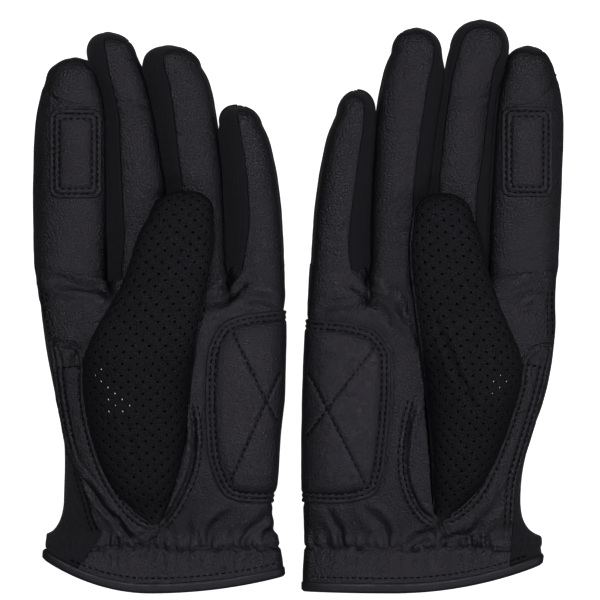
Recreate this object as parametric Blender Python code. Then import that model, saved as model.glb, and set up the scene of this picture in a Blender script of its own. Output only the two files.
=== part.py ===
"""A pair of short leather riding gloves, lying palm up on a flat surface.

Each glove is an assembly of sewn panels: a leather palm with four finger stalls, a textile back,
fourchettes between the fingers, a perforated thumb on its own gusset, pads, a bound cuff and a
hook-and-loop wrist strap. The fingers bend at their middle knuckles, the thumb lifts off the palm
and the strap peels open.

Both gloves are modelled as left gloves (index finger at low x) and the right one is mirrored.
Lengths are millimetres until the meshes are scaled at the end. +Y runs to the fingertips, +Z is up
out of the palm. The origin is at the middle of the pair's footprint, on the surface they lie on.
"""

import math

import bmesh
import bpy
import numpy as np
from mathutils import Matrix, Vector

MM = 0.001
CENTRE_Y = 1.325  # moves the pair along Y, so that the origin is at the middle of its length

LEATHER = 1.3  # thickness of a panel with its lining
GAP = 0.35  # between pieces that are sewn or pressed together
WELD = 0.001  # points this close become one after a Boolean
FLATNESS = math.radians(1.0)
SHARP = math.radians(40)
PANEL_POINTS = 16  # around a section of the hand
FINGER_POINTS = 12  # around a section of a finger or thumb
TIP_ANGLES = (32, 64)  # where a round tip has its sections
SQUARENESS_HAND = 3.0  # exponent of the hand's superellipse section
SQUARENESS_FINGER = 2.3

# Heights of the seams that split a finger into front, side band and back.
SEAM_HIGH = 10.6
SEAM_LOW = 6.2
WEB_START = 15.0  # the fourchettes begin here, at the roots of the fingers

KNUCKLE_GAP = (1.5, 1.0)  # clearance behind and ahead of each bending line
KNUCKLE_HEIGHT = 17.2  # the fingers bend about a line just above their palmar surface
THUMB_LINE = -20.0  # where the thumb leaves its gusset and bends
THUMB_CREASE_HEIGHT = 38.8
STRAP_Y = (-86.0, -64.0)
STRAP_FOLD_HEIGHT = 1.7

HAND_TOP = [(-121, 21.0), (-108, 19.0), (-101, 17.6), (-92, 19.0), (-75, 22.0), (-50, 23.6),
            (-20, 23.6), (0, 21.6), (22, 17.6)]
HAND_BOTTOM = [(-121, 1.8), (-100, 2.6), (-86, 3.5), (0, 3.5), (22, 1.4)]
FINGER_TOP = [(5, 19.0), (22, 17.3), (60, 16.5), (90, 15.6), (120, 15.0)]
FINGER_BOTTOM = [(5, 4.2), (22, 1.8), (30, 0.6), (120, 0.3)]
THUMB_BOTTOM = [(-22, 25.0), (0, 23.2), (22, 20.2), (48, 18.4)]
THUMB_HEIGHT = 13.5
GUSSET_RISE = [(-92, 0.4), (-80, 3.6), (-60, 8.5), (-40, 12.6), (-20, 14.9)]
GUSSET_FLOOR = 12.0  # the gusset's form reaches this low, inside the hand

# y, low x and high x of each outline. A finger ends in a round tip at (y, x).
GLOVES = {
    "left": {
        "hand": [(-121, -107.0, -6.0), (-112, -106.8, -6.8), (-105, -106.0, -8.0),
                 (-98, -104.0, -9.5), (-88, -100.5, -10.6), (-75, -99.6, -9.8),
                 (-55, -99.6, -8.4), (-40, -102.8, -6.6), (-20, -106.6, -5.9),
                 (0, -109.2, -5.4), (22, -110.2, -5.4)],
        "fingers": {
            "index": {"line": 43.0, "tip": (103.5, -93.5), "edges": [
                (5, -110.0, -79.6), (30, -110.4, -79.4), (60, -110.5, -79.3),
                (80, -109.0, -80.3), (91, -106.4, -82.2)]},
            "middle": {"line": 50.0, "tip": (114.0, -79.8), "edges": [
                (5, -78.4, -54.6), (46, -78.4, -55.6), (60, -78.3, -56.7), (80, -78.2, -60.4),
                (90, -79.0, -63.2), (97, -80.8, -65.6), (103, -84.2, -67.6)]},
            "ring": {"line": 50.0, "tip": (108.5, -54.0), "edges": [
                (5, -53.7, -30.6), (46, -54.7, -30.4), (60, -55.8, -32.2), (72, -57.8, -33.4),
                (80, -59.5, -34.4), (90, -62.3, -36.8), (98, -64.6, -40.2)]},
            "little": {"line": 33.0, "tip": (83.0, -25.0), "edges": [
                (5, -29.6, -5.2), (30, -28.6, -6.2), (46, -29.4, -7.6), (60, -31.2, -10.0),
                (72, -32.4, -13.5)]},
        },
        "thumb": [(-22, -87.0, -43.6), (-10, -82.6, -41.2), (0, -79.0, -39.6), (10, -73.4, -37.4),
                  (20, -69.6, -35.2), (30, -66.0, -35.0), (37, -61.6, -35.8)],
        "thumb_tip": (47.5, -47.0),
        "gusset": [(-91, -60.5, -56.5), (-87, -69.5, -55.5), (-80, -75.5, -53.4),
                   (-72, -80.4, -51.0), (-60, -84.6, -48.2), (-45, -87.5, -46.0),
                   (-30, -88.6, -44.6), (-21, -87.4, -43.6)],
        "cuff_arc": (-60.0, 0.0072, 0.0022),
        "pad": (-38.5, -82.5, -3.0),
        "patch": (-104.6, -82.8, 45.0, 81.5),
        "strap_x": (-88.0, -26.0),
    },
    "right": {
        "hand": [(-121, -102.5, -1.8), (-112, -102.6, -2.0), (-105, -102.2, -2.4),
                 (-98, -99.0, -2.5), (-88, -95.2, -2.2), (-75, -94.9, -1.8),
                 (-55, -99.0, -2.0), (-42, -103.8, -2.2), (-20, -108.2, -3.0),
                 (0, -108.3, -4.0), (22, -108.6, -4.8)],
        "fingers": {
            "index": {"line": 43.0, "tip": (108.5, -97.0), "edges": [
                (5, -108.3, -79.2), (30, -109.2, -79.6), (60, -110.4, -81.0),
                (80, -110.5, -82.0), (92, -109.0, -82.8), (98, -106.6, -84.4)]},
            "middle": {"line": 50.0, "tip": (119.5, -77.0), "edges": [
                (5, -78.2, -52.8), (46, -79.3, -54.6), (75, -80.8, -58.4),
                (92, -81.8, -60.6), (101, -84.0, -62.2), (108, -87.8, -64.8)]},
            "ring": {"line": 50.0, "tip": (116.0, -50.0), "edges": [
                (5, -51.9, -30.2), (46, -53.7, -30.6), (75, -57.4, -32.5),
                (92, -59.6, -35.4), (104, -60.6, -39.2)]},
            "little": {"line": 36.0, "tip": (89.5, -24.5), "edges": [
                (5, -29.2, -4.4), (46, -29.6, -7.8), (60, -30.2, -10.0),
                (72, -31.0, -12.9), (80, -31.2, -16.4)]},
        },
        "thumb": [(-22, -91.4, -51.6), (-10, -88.0, -49.4), (0, -84.4, -48.0), (12, -80.2, -46.4),
                  (20, -78.2, -46.0), (30, -76.4, -46.6), (37, -73.6, -48.6)],
        "thumb_tip": (46.5, -60.5),
        "gusset": [(-88, -60.5, -56.5), (-84, -68.5, -56.8), (-78, -74.0, -57.2),
                   (-70, -79.8, -57.2), (-58, -84.6, -56.6), (-45, -88.6, -55.2),
                   (-32, -92.2, -53.2), (-21, -91.6, -51.6)],
        "cuff_arc": (-40.0, 0.0035, 0.0005),
        "pad": (-39.0, -81.5, -7.0),
        "patch": (-107.6, -86.2, 45.8, 83.2),
        "strap_x": (-82.0, -20.0),
    },
}

# name: colour, roughness
FINISHES = {
    "leather": ((0.030, 0.030, 0.033, 1), 0.48),
    "perforated_leather": ((0.020, 0.019, 0.022, 1), 0.55),
    "textile": ((0.010, 0.009, 0.012, 1), 0.90),
    "binding": ((0.036, 0.037, 0.039, 1), 0.52),
    "foam": ((0.12, 0.12, 0.12, 1), 0.95),
    "guard": ((0.020, 0.020, 0.021, 1), 0.60),
    "hook_and_loop": ((0.014, 0.014, 0.015, 1), 0.95),
}


def clear_scene():
    for obj in list(bpy.data.objects):
        bpy.data.objects.remove(obj, do_unlink=True)


def material_for(piece_name, finish):
    colour, roughness = FINISHES[finish]
    material = bpy.data.materials.new(piece_name)
    material.use_nodes = True
    shader = material.node_tree.nodes["Principled BSDF"]
    shader.inputs["Base Color"].default_value = colour
    shader.inputs["Roughness"].default_value = roughness
    shader.inputs["Metallic"].default_value = 0.0
    return material


def along(table, y, column=1):
    return float(np.interp(y, [row[0] for row in table], [row[column] for row in table]))


def section(low_x, high_x, low_z, high_z, y, offset, squareness, points, lift=None):
    """A superellipse ring in the XZ plane, grown outwards by offset. lift(x) moves its points along Y."""
    centre_x, centre_z = (low_x + high_x) / 2, (low_z + high_z) / 2
    half_x = max((high_x - low_x) / 2 + offset, 0.4)
    half_z = max((high_z - low_z) / 2 + offset, 0.4)
    ring = []
    for k in range(points):
        angle = 2 * math.pi * (k + 0.5) / points
        c, s = math.cos(angle), math.sin(angle)
        x = centre_x + half_x * math.copysign(abs(c) ** (2 / squareness), c)
        z = centre_z + half_z * math.copysign(abs(s) ** (2 / squareness), s)
        ring.append(Vector((x, y + (lift(x) if lift else 0.0), z)))
    return ring


def mesh_object(name, build):
    """A new object whose mesh is what build(bm) makes, in triangles that point out."""
    bm = bmesh.new()
    build(bm)
    bmesh.ops.recalc_face_normals(bm, faces=bm.faces)
    bmesh.ops.triangulate(bm, faces=bm.faces)
    mesh = bpy.data.meshes.new(name)
    bm.to_mesh(mesh)
    bm.free()
    obj = bpy.data.objects.new(name, mesh)
    bpy.context.scene.collection.objects.link(obj)
    return obj


def loft(rings, name="form"):
    """A closed solid through unlike sections, with flat ends."""

    def build(bm):
        rows = [[bm.verts.new(p) for p in ring] for ring in rings]
        count = len(rows[0])
        for low, high in zip(rows, rows[1:]):
            for k in range(count):
                bm.faces.new((low[k], low[(k + 1) % count], high[(k + 1) % count], high[k]))
        bm.faces.new(list(reversed(rows[0])))
        bm.faces.new(rows[-1])

    return mesh_object(name, build)


def box(low, high, name="box"):
    def build(bm):
        bmesh.ops.create_cube(bm, size=1.0)
        size = Vector(high) - Vector(low)
        bmesh.ops.scale(bm, vec=size, verts=bm.verts)
        bmesh.ops.translate(bm, vec=(Vector(high) + Vector(low)) / 2, verts=bm.verts)

    return mesh_object(name, build)


def prism(low_x, high_x, low_y, high_y, radius, low_z, high_z, name="prism"):
    """An upright block with rounded corners."""
    corners = [(high_x - radius, high_y - radius, 0), (low_x + radius, high_y - radius, 90),
               (low_x + radius, low_y + radius, 180), (high_x - radius, low_y + radius, 270)]
    outline = []
    for x, y, start in corners:
        for step in range(4):
            angle = math.radians(start + 30 * step)
            outline.append((x + radius * math.cos(angle), y + radius * math.sin(angle)))

    def build(bm):
        floor = bm.faces.new([bm.verts.new((x, y, low_z)) for x, y in outline])
        made = bmesh.ops.extrude_face_region(bm, geom=[floor])["geom"]
        top = [v for v in made if isinstance(v, bmesh.types.BMVert)]
        bmesh.ops.translate(bm, vec=(0, 0, high_z - low_z), verts=top)

    return mesh_object(name, build)


def combine(target, tool, operation, keep_tool=False):
    """Applies a Boolean with tool to target, and removes tool."""
    modifier = target.modifiers.new("join", "BOOLEAN")
    modifier.object = tool
    modifier.operation = operation
    modifier.solver = "EXACT"
    graph = bpy.context.evaluated_depsgraph_get()
    mesh = bpy.data.meshes.new_from_object(target.evaluated_get(graph))
    target.modifiers.clear()
    target.data = mesh
    bm = bmesh.new()
    bm.from_mesh(mesh)
    bmesh.ops.remove_doubles(bm, verts=bm.verts, dist=WELD)
    bmesh.ops.triangulate(bm, faces=bm.faces)
    bmesh.ops.dissolve_degenerate(bm, edges=bm.edges, dist=WELD)
    bm.to_mesh(mesh)
    bm.free()
    if not keep_tool:
        bpy.data.objects.remove(tool)
    return target


def duplicate(obj):
    copy = bpy.data.objects.new(obj.name, obj.data.copy())
    bpy.context.scene.collection.objects.link(copy)
    return copy


def join_all(objects):
    whole = objects[0]
    for other in objects[1:]:
        combine(whole, other, "UNION")
    return whole


class Glove:
    """Builds one glove's solids, in the left glove's frame."""

    def __init__(self, side):
        self.side = side
        self.size = GLOVES[side]
        self.pieces = []

    def keep(self, obj, name, finish, pivot=(0, 0, 0)):
        """Stores a finished piece, with the faces that lie in one plane merged.

        pivot is a point on the axis that the piece turns about, where its origin goes.
        """
        bm = bmesh.new()
        bm.from_mesh(obj.data)
        bmesh.ops.dissolve_limit(bm, angle_limit=FLATNESS, verts=bm.verts, edges=bm.edges)
        bmesh.ops.triangulate(bm, faces=bm.faces)
        bm.to_mesh(obj.data)
        bm.free()
        obj.name = f"{self.side}_{name}"
        obj.data.name = obj.name
        obj.data.materials.clear()
        obj.data.materials.append(material_for(obj.name, finish))
        obj.data.shade_smooth()
        obj.data.set_sharp_from_angle(angle=SHARP)
        self.pieces.append((obj, pivot))

    def knuckle(self, name):
        """The point that a finger bends about: at the middle of its palmar surface."""
        line = self.size["fingers"][name]["line"]
        edges = self.size["fingers"][name]["edges"]
        return ((along(edges, line, 1) + along(edges, line, 2)) / 2, line, KNUCKLE_HEIGHT)

    def thumb_crease(self):
        low_x, high_x = (along(self.size["thumb"], THUMB_LINE, k) for k in (1, 2))
        return ((low_x + high_x) / 2, THUMB_LINE, THUMB_CREASE_HEIGHT)

    def strap_fold(self):
        low_y, high_y = STRAP_Y
        return (self.size["strap_x"][1] - 1.0, (low_y + high_y) / 2, STRAP_FOLD_HEIGHT)

    # forms: closed solids that panels are cut from

    def cuff_lift(self, level):
        """How far the cuff's curved hem moves a point at this level, as a function of x."""
        middle, left, right = self.size["cuff_arc"]
        share = float(np.clip((-85 - level) / 20, 0, 1))
        return lambda x: share * (left if x < middle else right) * (x - middle) ** 2

    def hand_form(self, offset, start=-121.0, end=22.0):
        levels = [y for y in (-112, -100, -88, -72, -45, -20, 5) if start < y < end]
        rings = []
        for y in [start, *levels, end]:
            rings.append(section(
                along(self.size["hand"], y, 1), along(self.size["hand"], y, 2),
                along(HAND_BOTTOM, y), along(HAND_TOP, y),
                y, offset, SQUARENESS_HAND, PANEL_POINTS, self.cuff_lift(y)))
        return loft(rings)

    def finger_form(self, name, offset, start, end=None):
        """A finger stall from y start to y end, or to its round tip."""
        finger = self.size["fingers"][name]
        edges = finger["edges"]
        last = edges[-1][0]
        stop = last if end is None else end
        levels = [y for y in (22, *[row[0] for row in edges]) if start < y < stop]

        def ring(y, shrink=1.0, centre_x=None, end_y=None):
            low_x, high_x = along(edges, y, 1), along(edges, y, 2)
            low_z, high_z = along(FINGER_BOTTOM, y), along(FINGER_TOP, y)
            middle_x = (low_x + high_x) / 2 if centre_x is None else centre_x
            middle_z = (low_z + high_z) / 2
            half_x, half_z = shrink * (high_x - low_x) / 2, shrink * (high_z - low_z) / 2
            return section(
                middle_x - half_x, middle_x + half_x, middle_z - half_z, middle_z + half_z,
                y if end_y is None else end_y, offset * (0.4 + 0.6 * shrink), SQUARENESS_FINGER,
                FINGER_POINTS)

        rings = [ring(y) for y in [start, *levels, stop]]
        if end is None:
            tip_y, tip_x = finger["tip"]
            middle = (edges[-1][1] + edges[-1][2]) / 2
            for angle in TIP_ANGLES:
                share = math.sin(math.radians(angle))
                shrink = math.cos(math.radians(angle)) ** 0.8
                rings.append(ring(last, shrink, middle + (tip_x - middle) * share,
                                  last + (tip_y + offset - last) * share))
        return loft(rings)

    def thumb_form(self, offset, start, end=None):
        edges = self.size["thumb"]
        tip_y, tip_x = self.size["thumb_tip"]
        last = edges[-1][0]
        levels = [row[0] for row in edges if start < row[0] < last]

        def ring(y, shrink=1.0, centre_x=None, end_y=None):
            low_x, high_x = along(edges, y, 1), along(edges, y, 2)
            at = y if end_y is None else end_y
            low_z = along(THUMB_BOTTOM, at)
            middle_z = low_z + THUMB_HEIGHT / 2
            middle_x = (low_x + high_x) / 2 if centre_x is None else centre_x
            half_x, half_z = shrink * (high_x - low_x) / 2, shrink * THUMB_HEIGHT / 2
            return section(
                middle_x - half_x, middle_x + half_x, middle_z - half_z, middle_z + half_z,
                at, offset, SQUARENESS_FINGER, FINGER_POINTS)

        rings = [ring(y) for y in [start, *levels, last]]
        middle = (edges[-1][1] + edges[-1][2]) / 2
        for angle in TIP_ANGLES:
            share = math.sin(math.radians(angle))
            rings.append(ring(last, math.cos(math.radians(angle)) ** 0.8,
                              middle + (tip_x - middle) * share,
                              last + (tip_y + offset - last) * share))
        return loft(rings)

    def gusset_form(self, offset, end):
        """The dome over the thumb opening, from its point near the cuff to the thumb's line."""
        edges = self.size["gusset"]
        levels = [row[0] for row in edges if row[0] < min(end, edges[-1][0])]
        rings = []
        for y in [*levels, end]:
            rings.append(section(
                along(edges, y, 1), along(edges, y, 2), GUSSET_FLOOR,
                along(HAND_TOP, y) + along(GUSSET_RISE, y),
                y, offset, SQUARENESS_FINGER, FINGER_POINTS))
        return loft(rings)

    # panels

    def build_hand(self):
        finger_names = list(self.size["fingers"])
        stalls = [self.finger_form(n, 0, 6, self.size["fingers"][n]["line"] - KNUCKLE_GAP[0])
                  for n in finger_names]
        outer = join_all([self.hand_form(0, start=-119.6), *stalls])
        hollows = [self.finger_form(n, -LEATHER, 6, self.size["fingers"][n]["line"] + 3)
                   for n in finger_names]
        inner = join_all([self.hand_form(-LEATHER, start=-126, end=22 - LEATHER), *hollows])
        wall = combine(outer, inner, "DIFFERENCE")

        centres = {n: sum(self.size["fingers"][n]["edges"][1][1:]) / 2 for n in finger_names}
        low, high, far = -10, 60, 150
        palm = duplicate(wall)
        cover = box((-far, -far, SEAM_HIGH), (far, far, high))
        side = box((centres["little"], -far, SEAM_LOW), (far, far, high - 1))
        combine(cover, side, "UNION")
        heel = box((centres["ring"], -far, SEAM_LOW), (far - 1, WEB_START, high - 2))
        combine(palm, combine(cover, heel, "UNION"), "INTERSECT")
        combine(palm, self.gusset_form(-LEATHER - 0.6, THUMB_LINE + 0.6), "DIFFERENCE")
        self.keep(palm, "palm_panel", "leather")

        back = duplicate(wall)
        combine(back, box((-far, -far, low), (far, far, SEAM_LOW - GAP)), "INTERSECT")
        self.keep(back, "back_panel", "textile")

        band_top = SEAM_HIGH - GAP
        band = duplicate(wall)
        reach = box((-far, -far, SEAM_LOW), (centres["index"], far, band_top))
        heel = box((-far, -far, SEAM_LOW), (centres["middle"], WEB_START, band_top))
        combine(band, combine(reach, heel, "UNION"), "INTERSECT")
        self.keep(band, "side_band", "leather")
        for first, second in zip(finger_names, finger_names[1:]):
            strip = duplicate(wall)
            between = box((centres[first] + GAP, WEB_START + GAP, SEAM_LOW),
                          (centres[second] - GAP, far, band_top))
            combine(strip, between, "INTERSECT")
            self.keep(strip, f"fourchette_{first}_{second}", "textile")
        bpy.data.objects.remove(wall)

    def build_gusset(self):
        dome = self.gusset_form(0, THUMB_LINE - KNUCKLE_GAP[0])
        combine(dome, self.gusset_form(-LEATHER, THUMB_LINE + 5), "DIFFERENCE")
        combine(dome, self.hand_form(GAP + 0.1, end=30), "DIFFERENCE")
        self.keep(dome, "thumb_gusset", "perforated_leather")

    def build_thumb(self):
        start = THUMB_LINE + KNUCKLE_GAP[1]
        wall = self.thumb_form(0, start)
        hollow = self.thumb_form(-LEATHER, THUMB_LINE - 3)
        combine(wall, hollow, "DIFFERENCE")
        slope = (along(THUMB_BOTTOM, 48) - along(THUMB_BOTTOM, -22)) / 70
        middle = along(THUMB_BOTTOM, THUMB_LINE) + THUMB_HEIGHT / 2
        for name, low, high, finish in (
            ("thumb_front", GAP / 2, 30, "perforated_leather"),
            ("thumb_back", -30, -GAP / 2, "leather"),
        ):
            half = duplicate(wall)
            block = box((-150, -40, low), (150, 120, high))
            turn = Matrix.Rotation(math.atan(slope), 4, "X")
            block.data.transform(Matrix.Translation((0, THUMB_LINE, middle)) @ turn)
            combine(half, block, "INTERSECT")
            self.keep(half, name, finish, self.thumb_crease())
        bpy.data.objects.remove(wall)

    def build_finger(self, name):
        start = self.size["fingers"][name]["line"] + KNUCKLE_GAP[1]
        wall = self.finger_form(name, 0, start)
        combine(wall, self.finger_form(name, -LEATHER, start - 4), "DIFFERENCE")
        far = 150
        for part, low, high, finish in (
            ("front", SEAM_HIGH, 40, "leather"),
            ("side_band", SEAM_LOW, SEAM_HIGH - GAP, "textile"),
            ("back", -5, SEAM_LOW - GAP, "textile"),
        ):
            slice_of = duplicate(wall)
            combine(slice_of, box((-far, -far, low), (far, far, high)), "INTERSECT")
            self.keep(slice_of, f"{name}_{part}", finish, self.knuckle(name))
        bpy.data.objects.remove(wall)

    def build_index_patch(self):
        low_x, high_x, low_y, high_y = self.size["patch"]
        start = self.size["fingers"]["index"]["line"] + KNUCKLE_GAP[1]
        patch = self.finger_form("index", GAP + 1.1, start)
        combine(patch, self.finger_form("index", GAP, start - 2), "DIFFERENCE")
        combine(patch, prism(low_x, high_x, low_y, high_y, 4.0, 10, 40), "INTERSECT")
        self.keep(patch, "index_patch", "leather", self.knuckle("index"))

    def build_heel_pad(self):
        left, low_y, high_y = self.size["pad"]
        far_x, floor, top = 10.0, SEAM_LOW + 1.0, 60.0
        cover = self.hand_form(3.0)
        pocket = combine(self.hand_form(2.0), prism(left + 3, far_x + 1, low_y + 3, high_y - 3,
                                                    8.0, floor + 2, top + 1), "INTERSECT")
        combine(cover, prism(left, far_x, low_y, high_y, 11.0, floor, top), "INTERSECT")
        combine(cover, self.hand_form(GAP, start=-125, end=30), "DIFFERENCE")
        combine(cover, pocket, "DIFFERENCE")
        self.keep(cover, "heel_pad_cover", "leather")
        foam = self.hand_form(2.0 - GAP)
        combine(foam, prism(left + 3.4, far_x, low_y + 3.4, high_y - 3.4, 7.6, floor + 2.4, top),
                "INTERSECT")
        combine(foam, self.hand_form(2 * GAP, start=-125, end=30), "DIFFERENCE")
        self.keep(foam, "heel_pad_foam", "foam")

    def build_cuff(self):
        binding = self.hand_form(1.3, start=-121.0, end=-115.6)
        combine(binding, self.hand_form(-LEATHER - 1.2, start=-126, end=-100), "DIFFERENCE")
        slot = self.hand_form(GAP, start=-119.6 - GAP, end=-100)
        combine(slot, self.hand_form(-LEATHER - GAP, start=-126, end=-99), "DIFFERENCE")
        combine(binding, slot, "DIFFERENCE")
        self.keep(binding, "cuff_binding", "binding")

        elastic = self.hand_form(-LEATHER - GAP, start=-104.5, end=-98.0)
        combine(elastic, self.hand_form(-LEATHER - GAP - 0.9, start=-110, end=-90), "DIFFERENCE")
        low_x, high_x = along(self.size["hand"], -101, 1), along(self.size["hand"], -101, 2)
        combine(elastic, box((low_x + 24, -150, 13.0), (high_x - 10, 0, 40)), "INTERSECT")
        self.keep(elastic, "wrist_elastic", "textile")

    def build_back_parts(self):
        """The knuckle guard and the closure, under the back. Their outer faces carry the glove."""
        low_x, high_x = along(self.size["hand"], 0, 1), along(self.size["hand"], 0, 2)
        middle = (low_x + high_x) / 2
        guard = self.hand_form(5.0, start=-19.0, end=6.0)
        outline = prism(middle - 37, middle + 37, -17.0, 4.0, 8.0, 0.0, 6.0)
        combine(guard, outline, "INTERSECT")
        combine(guard, self.hand_form(GAP, start=-40, end=22), "DIFFERENCE")
        self.keep(guard, "knuckle_guard", "guard")

        low, high = self.size["strap_x"]
        low_y, high_y = STRAP_Y
        inner = GAP
        for name, thickness, start, end, inset, radius, finish, pivot in (
            ("loop_patch", 0.5, low + 1, high - 14, 2.0, 2.0, "hook_and_loop", (0, 0, 0)),
            ("hook_patch", 0.5, low + 2, high - 24, 2.5, 2.0, "hook_and_loop", self.strap_fold()),
            ("wrist_strap", LEATHER, low, high, 0.0, 6.0, "leather", self.strap_fold()),
        ):
            layer = self.hand_form(inner + thickness, start=-100, end=-50)
            outline = prism(start, end, low_y + inset, high_y - inset, radius, -3, 8)
            combine(layer, outline, "INTERSECT")
            combine(layer, self.hand_form(inner, start=-110, end=-40), "DIFFERENCE")
            self.keep(layer, name, finish, pivot)
            inner += thickness + GAP

    def build(self):
        self.build_hand()
        self.build_gusset()
        self.build_thumb()
        for name in self.size["fingers"]:
            self.build_finger(name)
        self.build_index_patch()
        self.build_heel_pad()
        self.build_cuff()
        self.build_back_parts()
        mirrored = self.side == "right"
        place = Matrix.Scale(MM, 4) @ Matrix.Translation((0, CENTRE_Y, 0))
        if mirrored:
            place = Matrix.Scale(-1, 4, (1, 0, 0)) @ place
        for piece, pivot in self.pieces:
            piece.location = place @ Vector(pivot) if any(pivot) else Vector()
            piece.data.transform(Matrix.Translation(-piece.location) @ place)
            if mirrored:
                piece.data.flip_normals()
        return [piece for piece, pivot in self.pieces]


def main():
    clear_scene()
    pair = bpy.data.collections.new("riding_gloves")
    bpy.context.scene.collection.children.link(pair)
    for side in GLOVES:
        for piece in Glove(side).build():
            bpy.context.scene.collection.objects.unlink(piece)
            pair.objects.link(piece)


main()
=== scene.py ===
"""The looks of a pair of short leather riding gloves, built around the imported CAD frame.

Lengths are millimetres until a mesh is made. Both gloves are shaped as left gloves and the right one
is mirrored. Every sewn panel is cut from the surface of a tube (the hand, a finger or the thumb),
given thickness and rolled edges, and embossed by a relief of creases, puckers and seam grooves.
"""

import math

import bpy
import numpy as np
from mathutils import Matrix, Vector
from mathutils.geometry import delaunay_2d_cdt


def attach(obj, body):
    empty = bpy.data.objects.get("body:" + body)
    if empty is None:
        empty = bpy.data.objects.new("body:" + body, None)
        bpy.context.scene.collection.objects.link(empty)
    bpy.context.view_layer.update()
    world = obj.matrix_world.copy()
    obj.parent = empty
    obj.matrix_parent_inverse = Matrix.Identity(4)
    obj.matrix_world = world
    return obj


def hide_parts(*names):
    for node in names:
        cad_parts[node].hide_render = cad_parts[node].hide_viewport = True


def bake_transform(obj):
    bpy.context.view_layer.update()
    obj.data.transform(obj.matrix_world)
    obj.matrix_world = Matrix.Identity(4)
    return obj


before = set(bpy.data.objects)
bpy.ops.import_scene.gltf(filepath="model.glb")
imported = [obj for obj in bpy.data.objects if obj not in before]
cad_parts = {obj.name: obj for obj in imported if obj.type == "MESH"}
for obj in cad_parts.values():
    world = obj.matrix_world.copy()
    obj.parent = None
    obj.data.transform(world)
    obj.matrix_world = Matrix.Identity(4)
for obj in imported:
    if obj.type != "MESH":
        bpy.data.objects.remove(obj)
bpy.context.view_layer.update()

MM = 0.001
CENTRE_Y = 1.325  # from the outlines' own origin to the frame's, along Y
GRAIN_SHIFT = {"left": 0, "right": 350}  # so that the two gloves don't share one grain
LEATHER = 1.1  # thickness
GRID = 0.85  # spacing of a panel's points
FINE = 0.6  # the same where rows of stitches press into a panel
HAND_RADIUS = 47.0  # for the spacing of the hand's grids
CUFF_V = -120.4  # where the hand's panels end, inside the cuff's binding
HEM_FADE = (-88, -116)  # the cuff's bow grows between these
HEM_STITCH_Y = -115.2
GATHER_Y = -102.6  # the middle of the line over the wrist elastic
PUCKER = 5.0  # from one pucker of that line to the next
LOBE_FADE = (-7, 16.5)  # the hand turns into finger roots between these
CROTCH_Z = 9.0  # where the sections of two finger roots meet
TIP_GAP = 0.06  # left open at a finger's very tip, where a tube's points would meet
FINGER_REACH = 8.0  # how far a finger's bend spreads before and after its line
THUMB_BEND = ("thumb", -20, 12)  # digit, line and reach

STITCH = 1.95  # length
STITCH_PITCH = 2.7
THREAD_RADIUS = 0.27
SEAM_DEPTH = 0.55  # of the groove that a row of stitches pulls in
SEAM_WIDTH = 0.6
# distances of rows of stitches from an edge
PATCH_ROWS = (1.9, 4.1)
BAND_ROWS = (1.4, 3.6)
PAD_ROWS = (1.9, 3.9)
SEAM_ROWS = (1.3, 3.3)

HOLE = 0.5  # radius of a perforation
HOLE_PITCH = 5.75  # along a row
ROW_PITCH = 2.5
FIRST_ROW = -90
VENT_RADIUS = 0.85

# Tables of a section hold (y, value).
HAND_TOP = [(-123, 20.5), (-112, 19.6), (-105, 18.2), (-99, 17.6), (-90, 19.6), (-75, 22.0), (-50, 23.6),
            (-20, 23.6), (0, 21.4), (22, 17.3)]
HAND_BOTTOM = [(-123, 1.9), (-100, 2.6), (-86, 3.5), (0, 3.5), (22, 1.8)]
FINGER_TOP = [(5, 19.0), (22, 17.3), (60, 16.6), (90, 15.7), (120, 15.0)]
FINGER_BOTTOM = [(5, 4.2), (22, 1.8), (30, 0.7), (120, 0.4)]
THUMB_TOP = [(-93, 19.5), (-88, 21.2), (-80, 25.4), (-60, 31.6), (-40, 36.2), (-20, 38.2), (0, 36.6),
             (22, 33.7), (48, 31.6)]
THUMB_BOTTOM = [(-93, 12.0), (-60, 9.0), (-36, 8.0), (-27, 12.0), (-18, 20.5), (-9, 23.6), (0, 23.2),
                (22, 20.2), (48, 18.4)]
HAND_SQUARENESS = 3.0
FINGER_SQUARENESS = 2.35
THUMB_SQUARENESS = 2.2

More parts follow.
